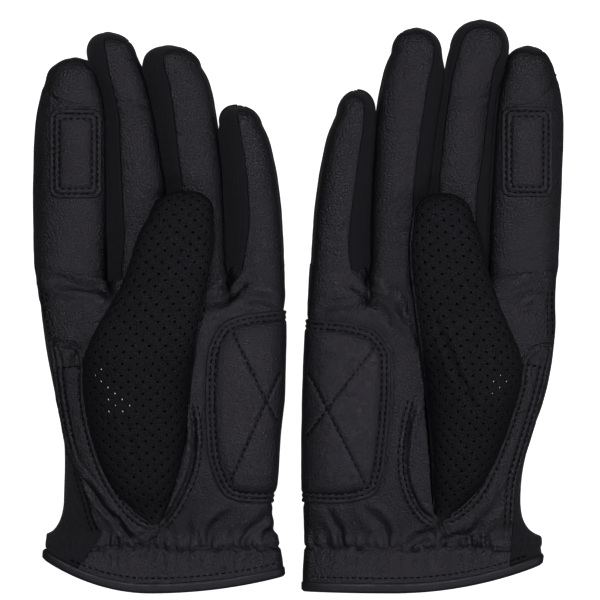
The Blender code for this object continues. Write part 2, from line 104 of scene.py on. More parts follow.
# "hand" and "edges" hold (y, low x, high x). Paths and outlines hold (x, y), and a tip is (y, x).
# Creases hold (path, depth, width), "patch" its box and corner radius, and "cuff" its middle x and the
# bow of its hem on either side.
GLOVES = {
    "left": {
        "hand": [(-123, -107.5, -5.6), (-112, -106.8, -6.8), (-105, -106.4, -8.0), (-98, -103.6, -9.5),
            (-88, -100.2, -10.8), (-75, -99.2, -9.8), (-55, -99.6, -8.4), (-40, -102.6, -6.6),
            (-20, -106.6, -5.9), (0, -109.2, -5.4), (12, -110.0, -5.5), (22, -110.6, -6.0)],
        "index": {
            "line": 43.0,
            "tip": (103.8, -94.0),
            "edges": [(5, -110.0, -79.6), (30, -110.8, -79.6), (60, -110.8, -79.8), (80, -109.4, -80.4),
                (89, -107.4, -81.7), (94, -105.6, -83.6)],
            "leather": [(-80.4, 5), (-80.2, 30), (-80.4, 60), (-80.8, 80), (-82.6, 90), (-85.4, 97.5),
                (-90, 102.6), (-93, 112), (-125, 112), (-125, 5)]},
        "middle": {
            "line": 50.0,
            "tip": (114.6, -80.2),
            "edges": [(5, -79.4, -54.5), (46, -79.6, -54.7), (60, -79.8, -56.7), (70, -80.0, -58.5),
                (80, -80.4, -60.3), (90, -82.6, -62.5), (96, -85.4, -64.3), (101, -88.2, -66.2),
                (105, -89.2, -68.2)],
            "leather": [(-72.5, 5), (-73.4, 30), (-75, 60), (-75.7, 78), (-77, 85), (-79.4, 95),
                (-81, 105), (-81.8, 111.2), (-78, 112.2), (-72, 110.6), (-66, 112), (-45, 112), (-45, 5)]},
        "ring": {
            "line": 50.0,
            "tip": (109.0, -54.6),
            "edges": [(5, -54.3, -29.4), (46, -54.5, -30.8), (60, -56.5, -31.7), (72, -58.8, -33.2),
                (80, -60.2, -34.4), (90, -62.6, -36.2), (96, -64.8, -38.2), (100, -65.4, -40.6)],
            "leather": [(-47, 5), (-49, 47), (-50.4, 60), (-51.5, 70), (-52.6, 80), (-54.4, 92),
                (-56.6, 100), (-56.4, 105), (-52, 107.2), (-46, 107), (-38, 112), (-20, 112), (-20, 5)]},
        "little": {
            "line": 33.0,
            "tip": (83.4, -25.4),
            "edges": [(5, -29.2, -5.3), (30, -29.5, -6.2), (46, -30.6, -7.6), (60, -31.6, -9.8),
                (70, -32.8, -12.4), (76, -32.4, -15.2)],
            "leather": [(-22.0, 5), (-20.9, 35), (-21.5, 50), (-22.5, 60), (-24, 68), (-25, 75),
                (-25.6, 81.2), (-22.5, 82.2), (-16, 90), (5, 90), (5, 5)]},
        "thumb": {
            "tip": (47.6, -47.0),
            "edges": [(-93, -63.5, -56.4), (-90, -67.6, -55.4), (-85, -73.4, -53.8), (-78, -78.4, -51.6),
                (-70, -82.4, -49.4), (-60, -85.8, -47.4), (-45, -89.2, -45.8), (-30, -90.4, -44.6),
                (-20, -88.9, -43.2), (-14, -86.2, -42.4), (-8, -83.2, -41.2), (0, -78.4, -39.6),
                (10, -73.2, -37.4), (20, -69.8, -35.6), (30, -66.4, -35.0), (37, -62.4, -35.6)]},
        "opening": [(-72, -12), (-81, -15), (-87, -20.5), (-88.8, -27), (-88.6, -35), (-87.6, -45),
            (-85.4, -55), (-81.6, -67), (-76.6, -77), (-70.5, -85.4), (-64, -90.6), (-58.5, -92),
            (-55.4, -87), (-52.4, -78), (-49.4, -68), (-47.2, -58), (-46.2, -48), (-46.4, -36), (-49, -24),
            (-58, -14)],
        "seam": [(-118, 18), (-112, 9), (-109, 1), (-105.8, -12), (-103.8, -25), (-102, -40), (-99.2, -55),
            (-96.8, -66), (-92.6, -80), (-88.6, -94), (-85.4, -99), (-89.5, -104), (-93, -110),
            (-97, -126)],
        "band": [(-92, -17), (-88.4, -22), (-88.4, -35), (-87.4, -45), (-85.2, -55), (-81.4, -67),
            (-76.4, -77), (-70.3, -85.4), (-64, -90.6), (-58.6, -92.2), (-58.4, -96), (-63, -100),
            (-68.4, -100.4), (-79.3, -88), (-88.7, -75.5), (-95.2, -66.5), (-98.4, -55), (-101.2, -40),
            (-103.0, -25), (-104.4, -15.5), (-98, -15)],
        "band_foot": [(-96, -65.6), (-88.7, -75.5), (-79.3, -88), (-68.4, -100.4), (-63, -100),
            (-58.6, -94)],
        "lip": [(-45.4, -42), (-43.9, -50), (-43.6, -60), (-45.2, -70), (-48.8, -79), (-53.6, -87.4),
            (-58.4, -93)],
        "thumb_creases": [([(-74, -44), (-71, -52), (-69, -60), (-67, -68)], 0.4, 1.2), ([(-44, 26),
            (-50, 23), (-58, 24)], 0.25, 1.5)],
        "gusset": [(-101.5, -60), (-94, -69.5), (-90, -78), (-86, -91), (-83.0, -97), (-87.5, -104.5),
            (-92, -111), (-97, -128), (-122, -128), (-118, -66)],
        "end": [(-118, 15.6), (-104, 14.4), (-92, 12.6), (-84, 10.8), (-77.6, 9.4), (-72, 12.0),
            (-50, 16.5), (-30, 17.0), (-24.5, 14.0), (-20, 16.2), (2, 17.0)],
        "pad": [(12, -8), (8, -2.6), (-4, -2.6), (-15, -3.4), (-22, -4.5), (-28, -6.2), (-33, -9.6),
            (-37, -17), (-38.5, -25), (-39, -40), (-38.5, -55), (-37.5, -65), (-35, -73), (-32, -79),
            (-28, -82), (-20, -83.5), (-4, -83.5), (8, -83.5), (12, -78)],
        "quilt": [[(-31, -5), (-8, -52)], [(-31.5, -81), (-5, -22)]],
        "cap": [(-106.2, 93.6), (-104.2, 89), (-101.6, 85.8), (-99.1, 83.8), (-96.4, 82.7), (-91.6, 82.5),
            (-86.8, 83)],
        "patch": (-104.6, -82.6, 44.4, 82.0, 4.0),
        "cuff": (-62.0, 0.0068, 0.0022),
        "creases": [([(-105, 11), (-96, 8.6), (-87, 6.6), (-79, 5.0)], 1.0, 2.0), ([(-98, 1.0), (-90, 1.6),
            (-83, -0.6)], 0.45, 1.6), ([(-40, -1.5), (-33, 2.0), (-26, 6.5), (-20, 10.5)], 1.1, 2.1),
            ([(-26, 5), (-18, 2.6), (-6, -0.6)], 0.7, 2.0), ([(-90, -16.5), (-94, -18.5),
            (-98, -24)], 1.2, 2.2), ([(-36, 5.5), (-29, 9.5), (-25, 14)], 0.7, 1.3), ([(-20, 29),
            (-14, 28), (-6, 29.5)], 0.5, 1.5), ([(-88.7, -75), (-79.3, -87.3), (-67.7, -101)], 1.0, 1.2),
            ([(-28, -87), (-35, -94), (-38, -101)], 0.8, 1.8), ([(-12, -88), (-19, -94),
            (-24, -101)], 0.7, 1.5), ([(-44, -84), (-47, -92), (-45, -101)], 0.5, 1.7), ([(-7, -92),
            (-12, -96), (-16, -101)], 0.6, 1.3), ([(-47, -20), (-43, -6), (-40, 2)], 0.9, 1.4)],
        "finger_creases": {
            "index": [([(-108, 21), (-98, 18.6), (-86, 17.6)], 0.4, 1.8), ([(-106.5, 92), (-103, 86.8),
                (-97, 83.3), (-88, 82.6)], 0.6, 0.9)],
            "middle": [([(-80, 86), (-73, 84.6), (-60, 83)], 0.8, 1.0), ([(-80, 104), (-74, 104.6),
                (-66, 102)], 0.35, 1.0), ([(-78, 58), (-68, 56), (-56, 57)], 0.3, 1.6)],
            "ring": [([(-60, 95), (-50, 95.6), (-40, 92)], 0.4, 1.2), ([(-52, 71), (-44, 69),
                (-33, 70)], 0.35, 1.4), ([(-55, 34), (-42, 30), (-30, 31)], 0.4, 1.6)],
            "little": [([(-30, 20.5), (-16, 21), (-5, 20)], 0.5, 1.6), ([(-22, 31), (-14, 29),
                (-6, 30)], 0.4, 1.4), ([(-26, 71), (-20, 70), (-14, 69)], 0.3, 1.2)]},
    },
    "right": {
        "hand": [(-123, -102.6, -1.9), (-112, -103.4, -2.0), (-105, -102.6, -2.4), (-98, -98.6, -2.5),
            (-88, -95.0, -2.2), (-75, -94.9, -1.9), (-55, -99.2, -2.0), (-42, -103.8, -2.2),
            (-20, -108.2, -3.0), (0, -108.5, -4.0), (12, -108.6, -4.5), (22, -109.0, -5.4)],
        "index": {
            "line": 43.0,
            "tip": (108.8, -97.0),
            "edges": [(5, -108.5, -79.2), (30, -109.5, -79.7), (60, -110.8, -81.0), (80, -111.0, -82.4),
                (90, -109.8, -84.0), (98, -107.4, -86.6)],
            "leather": [(-79.8, 5), (-80.0, 22), (-80.6, 40), (-82.0, 60), (-83.4, 80), (-85.0, 95),
                (-86.6, 101), (-89, 105), (-94, 106.8), (-101, 105.6), (-108, 108), (-125, 104),
                (-125, 5)]},
        "middle": {
            "line": 50.0,
            "tip": (119.8, -77.2),
            "edges": [(5, -78.8, -52.6), (46, -79.9, -54.6), (60, -80.7, -56.2), (75, -81.7, -58.1),
                (92, -84.2, -60.7), (98, -86.6, -61.6), (103, -88.6, -62.6), (108, -89.2, -64.0)],
            "leather": [(-58, 5), (-59, 50), (-60, 62), (-62, 80), (-64.5, 95), (-66.5, 103), (-68.6, 110),
                (-71.4, 115), (-77, 117), (-83, 115.6), (-86.6, 111), (-85.8, 105), (-82.8, 98),
                (-80.4, 80), (-78, 60), (-75.5, 42), (-74, 5)]},
        "ring": {
            "line": 50.0,
            "tip": (116.4, -50.0),
            "edges": [(5, -52.4, -29.8), (46, -54.3, -30.3), (60, -56.0, -31.1), (75, -57.9, -32.1),
                (92, -60.5, -34.6), (102, -61.2, -37.4), (106, -60.8, -39.4)],
            "leather": [(-47.5, 5), (-49, 45), (-51, 65), (-52.5, 75), (-55, 92), (-57, 100), (-57.8, 108),
                (-55, 113), (-50, 115), (-45, 114), (-38, 118), (-15, 118), (-15, 5)]},
        "little": {
            "line": 36.0,
            "tip": (89.8, -24.8),
            "edges": [(5, -29.5, -4.4), (46, -30.1, -7.6), (60, -30.9, -9.8), (72, -31.9, -12.7),
                (80, -31.9, -16.2)],
            "leather": [(-21.5, 5), (-21.5, 25), (-23, 40), (-24.5, 50), (-25.5, 58), (-27, 68),
                (-28.2, 78), (-27.8, 85), (-24, 88.4), (-18, 92), (5, 92), (5, 5)]},
        "thumb": {
            "tip": (46.6, -60.5),
            "edges": [(-92, -62.0, -57.4), (-87, -68.2, -57.0), (-81, -74.0, -56.6), (-75, -78.4, -56.2),
                (-67, -82.4, -55.8), (-58, -86.2, -55.2), (-45, -90.6, -54.0), (-32, -93.8, -52.6),
                (-22, -93.4, -51.2), (-14, -90.4, -50.2), (-6, -86.8, -49.2), (2, -83.6, -48.2),
                (12, -80.4, -47.0), (20, -78.4, -46.6), (30, -76.2, -47.0), (37, -73.0, -48.6)]},
        "opening": [(-76, -12), (-86, -15), (-92, -21), (-93, -28), (-91.2, -37), (-88.8, -45),
            (-86.4, -52), (-83.4, -60), (-80.2, -68), (-76.2, -76), (-71.2, -82.6), (-65, -87.4),
            (-58.5, -89.4), (-56.4, -84), (-55.6, -74), (-54.8, -62), (-53.6, -48), (-53.0, -36),
            (-56, -24), (-64, -14)],
        "seam": [(-118, 16), (-111.5, 7), (-109.4, 0), (-108.4, -12), (-106.6, -25), (-103.2, -40),
            (-99.4, -53), (-95.6, -65), (-92.6, -76), (-91.6, -88), (-91.5, -96), (-90.5, -108),
            (-90, -126)],
        "band": [(-97, -19), (-93, -25), (-91, -37), (-88.6, -45), (-86.2, -52), (-83.2, -60), (-80, -68),
            (-76, -76), (-71, -82.6), (-65, -87.4), (-59, -89.6), (-58.6, -93), (-62, -99), (-70, -101.6),
            (-80, -102.4), (-88, -101.6), (-90.4, -97), (-90.7, -88), (-91.6, -76.4), (-94.4, -65.6),
            (-98.4, -52.5), (-102.2, -39.6), (-105.6, -25), (-106.8, -17), (-101, -16.5)],
        "band_foot": [(-59, -94), (-62, -99), (-70, -101.6), (-80, -102.4), (-88, -101.6), (-90.4, -97)],
        "lip": [(-49.6, -40), (-47.4, -48), (-45.6, -59), (-45.4, -70), (-47.6, -79), (-52, -87),
            (-58, -91.6)],
        "thumb_creases": [([(-58, -8), (-62, -18), (-66, -28), (-70, -36), (-75, -45)], 0.7, 1.3),
            ([(-60, 28), (-66, 24), (-72, 24)], 0.25, 1.5)],
        "gusset": [(-100, -60), (-92.6, -70), (-90, -78), (-89.6, -88), (-90, -96), (-89.4, -108),
            (-88.5, -128), (-120, -128), (-116, -66)],
        "end": [(-118, 15.0), (-104, 14.0), (-92, 12.6), (-86, 11.4), (-79.6, 10.0), (-74, 12.0),
            (-50, 16.5), (-30, 17.0), (-25.5, 13.6), (-20, 15.8), (2, 17.0)],
        "pad": [(12, -12), (8, -6.2), (-4, -6.4), (-15, -7), (-25, -8.5), (-33, -12), (-38.5, -20),
            (-39, -30), (-38.5, -45), (-36.5, -65), (-35, -73), (-32, -80), (-20, -83.6), (-4, -83.4),
            (8, -83), (12, -78)],
        "quilt": [[(-36, -13), (-1, -59)], [(-31, -81), (0, -20)]],
        "cap": [(-109.0, 97), (-106.6, 91.5), (-103.2, 87.6), (-99.4, 85.2), (-95, 84.2), (-90, 84.0)],
        "patch": (-107.4, -85.6, 45.0, 83.0, 4.0),
        "cuff": (-40.0, 0.003, 0.0004),
        "creases": [([(-103, 9.5), (-95, 6.4), (-88, 3.4)], 0.8, 2.0), ([(-100, 0), (-95, -1.4),
            (-91, -4)], 0.4, 1.5), ([(-46, -12), (-38, -1.0), (-29, 5.0), (-22, 9)], 0.9, 2.3), ([(-30, 2),
            (-18, 0.0), (-6, -3.6)], 0.6, 2.0), ([(-95, -19), (-98, -22), (-100.5, -28)], 0.9, 2.4),
            ([(-36, 6.5), (-30, 9.5), (-26, 13.5)], 0.6, 1.3), ([(-86.5, -78), (-80, -88),
            (-72, -97.4)], 0.5, 1.8), ([(-28, -86), (-35, -93), (-38, -101)], 0.8, 1.8), ([(-12, -86),
            (-17, -94), (-19, -101)], 0.7, 1.4), ([(-60, -95), (-52, -98), (-44, -102)], 0.9, 1.5),
            ([(-76, -94), (-68, -98), (-56, -100)], 0.7, 1.6), ([(-52, -20), (-48, -6),
            (-45, 2)], 0.8, 1.4)],
        "finger_creases": {
            "index": [([(-108, 20.5), (-99, 18.6), (-86, 18.4)], 0.35, 1.8), ([(-109, 96), (-103, 87.4),
                (-96, 84.4), (-88, 84)], 0.4, 0.9)],
            "middle": [([(-84, 88), (-73, 86), (-60, 85)], 0.6, 1.0), ([(-86, 106), (-76, 107),
                (-66, 104)], 0.3, 1.0), ([(-80, 60), (-68, 57), (-56, 58)], 0.35, 1.6)],
            "ring": [([(-60, 97), (-50, 98.6), (-38, 95)], 0.35, 1.2), ([(-57, 74), (-46, 71),
                (-33, 72)], 0.4, 1.4), ([(-52, 33), (-42, 30), (-30, 31)], 0.4, 1.6)],
            "little": [([(-29, 20.5), (-16, 21), (-5, 20)], 0.5, 1.6), ([(-24, 33), (-14, 31),
                (-6, 32)], 0.4, 1.4), ([(-28, 76), (-22, 74), (-16, 73)], 0.3, 1.2)]},
    },
}


# curves and fields


def smooth(table, column=1):
    """A smooth curve through a table's rows, as a function of their first value."""
    xs = np.array([row[0] for row in table], float)
    ys = np.array([row[column] for row in table], float)
    slopes = np.gradient(ys, xs)

    def value(x):
        x = np.clip(x, xs[0], xs[-1])
        k = np.clip(np.searchsorted(xs, x, side="right") - 1, 0, len(xs) - 2)
        width = xs[k + 1] - xs[k]
        t = (x - xs[k]) / width
        rise = t * t * (3 - 2 * t)
        sway = t * (1 - t) * width * ((1 - t) * slopes[k] - t * slopes[k + 1])
        return ys[k] + (ys[k + 1] - ys[k]) * rise + sway

    return value


def step(low, high, x):
    """0 below low, 1 above high, and smooth between them."""
    t = np.clip((x - low) / (high - low), 0, 1)
    return t * t * (3 - 2 * t)


def bell(x, centre, width):
    """1 at the centre, and nearly 0 beyond two widths from it."""
    return np.exp(-((x - centre) / width) ** 2)


def run_along(path):
    """Distance along a path to each of its points."""
    return np.concatenate([[0], np.cumsum(np.linalg.norm(np.diff(path, axis=0), axis=1))])


def resample(path, gap=0.9):
    """Even points along a path, about this far apart."""
    path = np.asarray(path, float)
    run = run_along(path)
    s = np.linspace(0, run[-1], max(int(run[-1] / gap), 2) + 1)
    return np.stack([np.interp(s, run, path[:, k]) for k in range(path.shape[1])], axis=1)


def rounded_path(points, closed=False, steps=6):
    """Points along a Catmull-Rom curve through these ones."""
    p = np.array(points, float)
    if closed:
        p = np.vstack([p[-1], p, p[:2]])
    else:
        p = np.vstack([2 * p[0] - p[1], p, 2 * p[-1] - p[-2]])
    t = np.linspace(0, 1, steps, endpoint=False)[:, None]
    rows = []
    for a, b, c, d in zip(p, p[1:], p[2:], p[3:]):
        rows.append(0.5 * (2 * b + (c - a) * t + (2 * a - 5 * b + 4 * c - d) * t**2
                           + (3 * b - a - 3 * c + d) * t**3))
    if not closed:
        rows.append(p[-2:-1])
    return np.vstack(rows)


def rounded_box(low_x, high_x, low_y, high_y, radius):
    """The outline of a rectangle with rounded corners."""
    corners = [(high_x - radius, high_y - radius, 0), (low_x + radius, high_y - radius, 90),
               (low_x + radius, low_y + radius, 180), (high_x - radius, low_y + radius, 270)]
    rows = []
    for x, y, start in corners:
        for angle in np.radians(start + np.linspace(0, 90, 6)):
            rows.append((x + radius * math.cos(angle), y + radius * math.sin(angle)))
    return np.array(rows)


def offset_path(path, distance, closed=False):
    """The path shifted to its left by this distance, in the plan."""
    path = np.asarray(path, float)
    ahead = np.gradient(path, axis=0)
    if closed:
        ahead = np.roll(path, -1, axis=0) - np.roll(path, 1, axis=0)
    ahead /= np.maximum(np.linalg.norm(ahead, axis=1, keepdims=True), 1e-9)
    return path + distance * np.stack([-ahead[:, 1], ahead[:, 0]], axis=1)


def opened(path):
    """The path turned round so that it starts after its widest gap."""
    gap = np.linalg.norm(np.diff(np.vstack([path, path[:1]]), axis=0), axis=1)
    return np.roll(path, -int(np.argmax(gap)) - 1, axis=0)


def to_path(points, path, closed=False):
    """Distance from each point to a path in the plan, and how far along the path that is."""
    starts = np.asarray(path, float)[:, :2]
    ends = np.roll(starts, -1, axis=0)
    if not closed:
        starts, ends = starts[:-1], ends[:-1]
    best = np.full(len(points), np.inf)
    where = np.zeros(len(points))
    run = 0.0
    for a, b in zip(starts, ends):
        span = b - a
        length = max(np.hypot(*span), 1e-9)
        t = np.clip(((points[:, :2] - a) @ span) / length**2, 0, 1)
        away = np.hypot(*(points[:, :2] - a - t[:, None] * span).T)
        nearer = away < best
        best[nearer] = away[nearer]
        where[nearer] = run + t[nearer] * length
        run += length
    return best, where


def inside(points, outline):
    """Signed distance to a closed outline in the plan, positive inside it."""
    away = to_path(points, outline, closed=True)[0]
    x, y = points[:, 0], points[:, 1]
    within = np.zeros(len(points), bool)
    outline = np.asarray(outline, float)
    for (x0, y0), (x1, y1) in zip(outline, np.roll(outline, -1, axis=0)):
        if y0 == y1:
            continue
        crosses = (y0 > y) != (y1 > y)
        within ^= crosses & (x < (x1 - x0) * (y - y0) / (y1 - y0) + x0)
    return np.where(within, away, -away)


def noise(points, size, seed=0):
    """Smooth value noise from -1 to 1, with bumps of this size, hashed from whole-number cells."""
    p = np.asarray(points, float) / size + 1000.0
    cell = np.floor(p).astype(np.int64)
    t = p - cell
    t = t * t * (3 - 2 * t)
    total = np.zeros(len(p))
    for corner in range(8):
        bits = np.array([corner & 1, corner >> 1 & 1, corner >> 2 & 1])
        at = cell + bits
        mixed = at[:, 0] * 374761393 + at[:, 1] * 668265263 + at[:, 2] * 1103515245 + seed * 12345701
        mixed = (mixed ^ (mixed >> 13)) * 1274126177 & 0xFFFFFFFF
        value = ((mixed ^ (mixed >> 16)) & 0xFFFF) / 32767.5 - 1
        total += np.prod(np.where(bits, t, 1 - t), axis=1) * value
    return total


def leather_noise(plan, seed):
    return 0.14 * noise(plan, 8, seed) + 0.045 * noise(plan, 2.6, seed + 5)


def grooves(points, lines):
    """Height of a set of (path, depth, width) creases: a valley with a low swell on either side."""
    height = np.zeros(len(points))
    # the lines wander by about half a millimetre, and are a third as deep at their ends
    drift = 0.7 * np.stack([noise(points, 5, 31), 1.4 * noise(points, 4, 32)], axis=1)
    for path, depth, width in lines:
        path = rounded_path(path)
        away, along = to_path(points[:, :2] + drift, path)
        fade = 0.35 + 0.65 * step(0, 5, along) * step(0, 5, run_along(path)[-1] - along)
        swell = 0.6 * bell(away, 2.2 * width, 1.1 * width)
        height += depth * fade * (swell - bell(away, 0, width))
    return height


def seam_grooves(inward, rows):
    """What rows of stitches press into leather, at these distances from its edge."""
    return -SEAM_DEPTH * sum(bell(inward, row, SEAM_WIDTH) for row in rows)


# tubes: the surfaces that panels are cut from


def signed_power(value, power):
    return np.sign(value) * np.abs(value) ** power


def even_angle(squareness, flatness):
    """Maps an even run round a superellipse to the angle that its formula takes."""
    angle = np.linspace(0, 2 * np.pi, 2881)
    x = signed_power(np.cos(angle), 2 / squareness)
    z = flatness * signed_power(np.sin(angle), 2 / squareness)
    run = run_along(np.stack([x, z], axis=1))
    run *= 2 * np.pi / run[-1]

    def angle_at(u):
        turns = np.floor(u / (2 * np.pi))
        return np.interp(u - turns * 2 * np.pi, run, angle) + turns * 2 * np.pi

    return angle_at


class Tube:
    """A surface round the Y axis. u runs round it from +X over the top (+Z), v runs along it."""

    def __init__(self, edges, top, bottom, squareness, flatness, tip=None):
        self.low, self.high = smooth(edges, 1), smooth(edges, 2)
        self.top, self.bottom = smooth(top), smooth(bottom)
        self.squareness = squareness
        self.angle = even_angle(squareness, flatness)
        self.last = edges[-1][0]
        self.tip = tip
        self.end = self.last
        if tip:
            half = (self.high(self.last) - self.low(self.last)) / 2
            self.reach = math.pi / 2 * math.hypot(tip[0] - self.last, half) / math.sqrt(2)
            self.end = self.last + self.reach

    def rings(self, v):
        """Middle x, half width, y, middle z and half height at each v."""
        y = np.minimum(v, self.last)
        low, high = self.low(y), self.high(y)
        middle, half = (low + high) / 2, (high - low) / 2
        shrink = np.ones_like(middle)
        if self.tip:
            turn = np.clip((v - self.last) / self.reach, 0, 1) * np.pi / 2
            shrink = np.cos(turn) ** 0.86
            middle = middle + (self.tip[1] - middle) * np.sin(turn)
            y = y + (self.tip[0] - self.last) * np.sin(turn)
        top, bottom = self.top(y), self.bottom(y)
        return middle, half * shrink, y, (top + bottom) / 2, (top - bottom) / 2 * shrink

    def points(self, u, v):
        middle, half, y, level, height = self.rings(v)
        angle = self.angle(u)
        x = middle + half * signed_power(np.cos(angle), 2 / self.squareness)
        z = level + height * signed_power(np.sin(angle), 2 / self.squareness)
        return np.stack([x, y + CENTRE_Y, z], axis=1)

    def normals(self, u, v):
        around = self.points(u + 0.012, v) - self.points(u - 0.012, v)
        along = self.points(u, np.minimum(v + 0.4, self.end)) - self.points(u, v - 0.4)
        n = np.cross(along, around)
        length = np.linalg.norm(n, axis=1)
        flat = length < 1e-7
        n[flat] = (0, 1, 0)
        length[flat] = 1
        return n / length[:, None]

    def on_top(self, xy):
        """The point of the upper surface over each (x, y), y in the outlines' own origin."""
        x, y = np.asarray(xy, float).T[:2]
        middle, half, _, level, height = self.rings(self.v_at(y))
        share = np.clip(np.abs(x - middle) / np.maximum(half, 1e-6), 0, 1) ** self.squareness
        z = level + height * (1 - share) ** (1 / self.squareness)
        return np.stack([x, y + CENTRE_Y, z], axis=1)

    def v_at(self, y):
        if not self.tip:
            return y
        beyond = np.clip((y - self.last) / (self.tip[0] - self.last), 0, 1)
        return np.where(y > self.last, self.last + np.arcsin(beyond) * self.reach * 2 / np.pi, y)

    def radian(self, v):
        """Millimetres round the tube for each radian of u, averaged over its upper half."""
        u = np.linspace(0, np.pi, 40)
        return max(run_along(self.points(u, np.full(40, float(v))))[-1] / np.pi, 1.0)


class HandTube(Tube):
    """The hand, whose section turns into four finger sections at its far end."""

    def __init__(self, size, fingers):
        super().__init__(size["hand"], HAND_TOP, HAND_BOTTOM, HAND_SQUARENESS, 0.2)
        self.fingers = fingers
        self.cuff = size["cuff"]

    def hem(self, x, v):
        """How far the cuff's curved hem moves a point along Y."""
        middle, left, right = self.cuff
        return step(*HEM_FADE, v) * np.where(x < middle, left, right) * (x - middle) ** 2

    def lobes(self, x, v, z, upper):
        """z as the hand's section turns into those of the finger roots, which meet at CROTCH_Z."""
        level = np.full_like(x, CROTCH_Z)
        for tube in self.fingers:
            middle, half, _, mid_z, height = tube.rings(v)
            part = np.clip(np.abs(x - middle) / half, 0, 1) ** tube.squareness
            rise = height * (1 - part) ** (1 / tube.squareness)
            level = np.where(upper, np.maximum(level, mid_z + rise), np.minimum(level, mid_z - rise))
        return z + (level - z) * step(*LOBE_FADE, v)

    def points(self, u, v):
        p = super().points(u, v)
        p[:, 2] = self.lobes(p[:, 0], v, p[:, 2], np.sin(self.angle(u)) >= 0)
        p[:, 1] += self.hem(p[:, 0], v)
        return p

    def on_top(self, xy):
        x, y = np.asarray(xy, float).T[:2]
        v = y - self.hem(x, y)
        p = super().on_top(np.stack([x, v], axis=1))
        p[:, 2] = self.lobes(x, v, p[:, 2], np.ones(len(x), bool))
        p[:, 1] = y + CENTRE_Y
        return p


def finger_tube(table):
    return Tube(table["edges"], FINGER_TOP, FINGER_BOTTOM, FINGER_SQUARENESS, 0.7, table["tip"])


def thumb_tube(table):
    return Tube(table["edges"], THUMB_TOP, THUMB_BOTTOM, THUMB_SQUARENESS, 0.75, table["tip"])


# meshes


def grid_of(spans, radius, grid):
    """u, v and triangles of an even grid over part of a tube of about this radius."""
    u_low, u_high, v_low, v_high = spans
    columns = max(int(abs(u_high - u_low) * radius / grid), 4)
    rows = max(int((v_high - v_low) / grid), 4)
    u, v = np.meshgrid(np.linspace(u_low, u_high, columns + 1), np.linspace(v_low, v_high, rows + 1))
    index = np.arange((rows + 1) * (columns + 1)).reshape(rows + 1, columns + 1)
    a, b, c, d = index[:-1, :-1], index[:-1, 1:], index[1:, 1:], index[1:, :-1]
    odd = (np.indices(a.shape).sum(axis=0) % 2).astype(bool)
    corners = (((a, c, b), odd), ((a, d, c), odd), ((a, d, b), ~odd), ((b, d, c), ~odd))
    tris = [np.stack(t, axis=-1)[chosen] for t, chosen in corners]
    return u.ravel(), v.ravel(), np.concatenate(tris)


def clip(tris, values, columns):
    """The part of a triangle mesh where values are positive, cut along their zero line.

    columns holds one row of numbers per point, which new points take by interpolation.
    """
    values = np.where(np.abs(values) < 0.08, 0.08, values)
    keep = values > 0
    count = keep[tris].sum(axis=1)
    whole = tris[count == 3]
    extra = []
    new_rows = []
    cache = {}

    def cut(i, j):
        key = (min(i, j), max(i, j))
        if key not in cache:
            t = values[i] / (values[i] - values[j])
            cache[key] = len(columns) + len(new_rows)
            new_rows.append(columns[i] * (1 - t) + columns[j] * t)
        return cache[key]

    for a, b, c in tris[(count == 1) | (count == 2)].tolist():
        while keep[c] or not keep[a]:
            a, b, c = b, c, a
        if keep[b]:
            p, q = cut(b, c), cut(a, c)
            extra += [(a, b, p), (a, p, q)]
        else:
            extra.append((a, cut(a, b), cut(a, c)))
    if extra:
        whole = np.vstack([whole, np.array(extra)])
        columns = np.vstack([columns, np.array(new_rows)])
    used, index = np.unique(whole, return_inverse=True)
    return index.reshape(-1, 3), columns[used]


def shell(points, normals, tris, thickness):
    """Points and faces of a sheet with thickness below its outer surface."""
    edges = np.vstack([tris[:, [0, 1]], tris[:, [1, 2]], tris[:, [2, 0]]])
    _, first, count = np.unique(np.sort(edges, axis=1), axis=0, return_index=True, return_counts=True)
    rim = edges[first[count == 1]]
    n = len(points)
    walls = np.stack([rim[:, 1], rim[:, 0], rim[:, 0] + n, rim[:, 1] + n], axis=1)
    return np.vstack([points, points - normals * thickness]), [tris, tris[:, ::-1] + n, walls]


def stitch_points(path, normals):
    """Points and faces of a row of stitches that lie along a path on a surface."""
    run = run_along(path)
    count = int((run[-1] - STITCH) / STITCH_PITCH) + 1
    if count < 1:
        return np.zeros((0, 3)), []
    starts = (run[-1] - (count - 1) * STITCH_PITCH - STITCH) / 2 + np.arange(count) * STITCH_PITCH

    def at(s, rows):
        return np.stack([np.interp(s, run, rows[:, k]) for k in range(3)], axis=-1)

    # five rings of six points each, whose ends dip into the leather
    s = starts[:, None] + np.array([0.0, 0.16, 0.5, 0.84, 1.0]) * STITCH
    lifts = np.array([-0.28, 0.06, 0.2, 0.06, -0.28])
    sizes = np.array([0.6, 1.0, 1.1, 1.0, 0.6]) * THREAD_RADIUS
    centres = at(s, path)
    up = at(s, normals)
    up /= np.linalg.norm(up, axis=-1, keepdims=True)
    side = np.cross(np.gradient(centres, axis=1), up)
    side /= np.maximum(np.linalg.norm(side, axis=-1, keepdims=True), 1e-9)
    centres = centres + up * lifts[:, None]
    angles = np.radians([0, 60, 120, 180, 240, 300])
    ring = side[:, :, None] * np.cos(angles)[:, None] + up[:, :, None] * np.sin(angles)[:, None]
    points = centres[:, :, None] + ring * sizes[:, None, None]
    low = np.arange(24).reshape(4, 6)
    sides = np.stack([low, low + 6, np.roll(low, -1, axis=1) + 6, np.roll(low, -1, axis=1)], axis=-1)
    ends = np.array([range(6), range(29, 23, -1)])
    bases = np.arange(0, count * 30, 30).reshape(-1, 1, 1)
    faces = [(sides.reshape(-1, 4) + bases).reshape(-1, 4), (ends + bases).reshape(-1, 6)]
    return points.reshape(-1, 3), faces


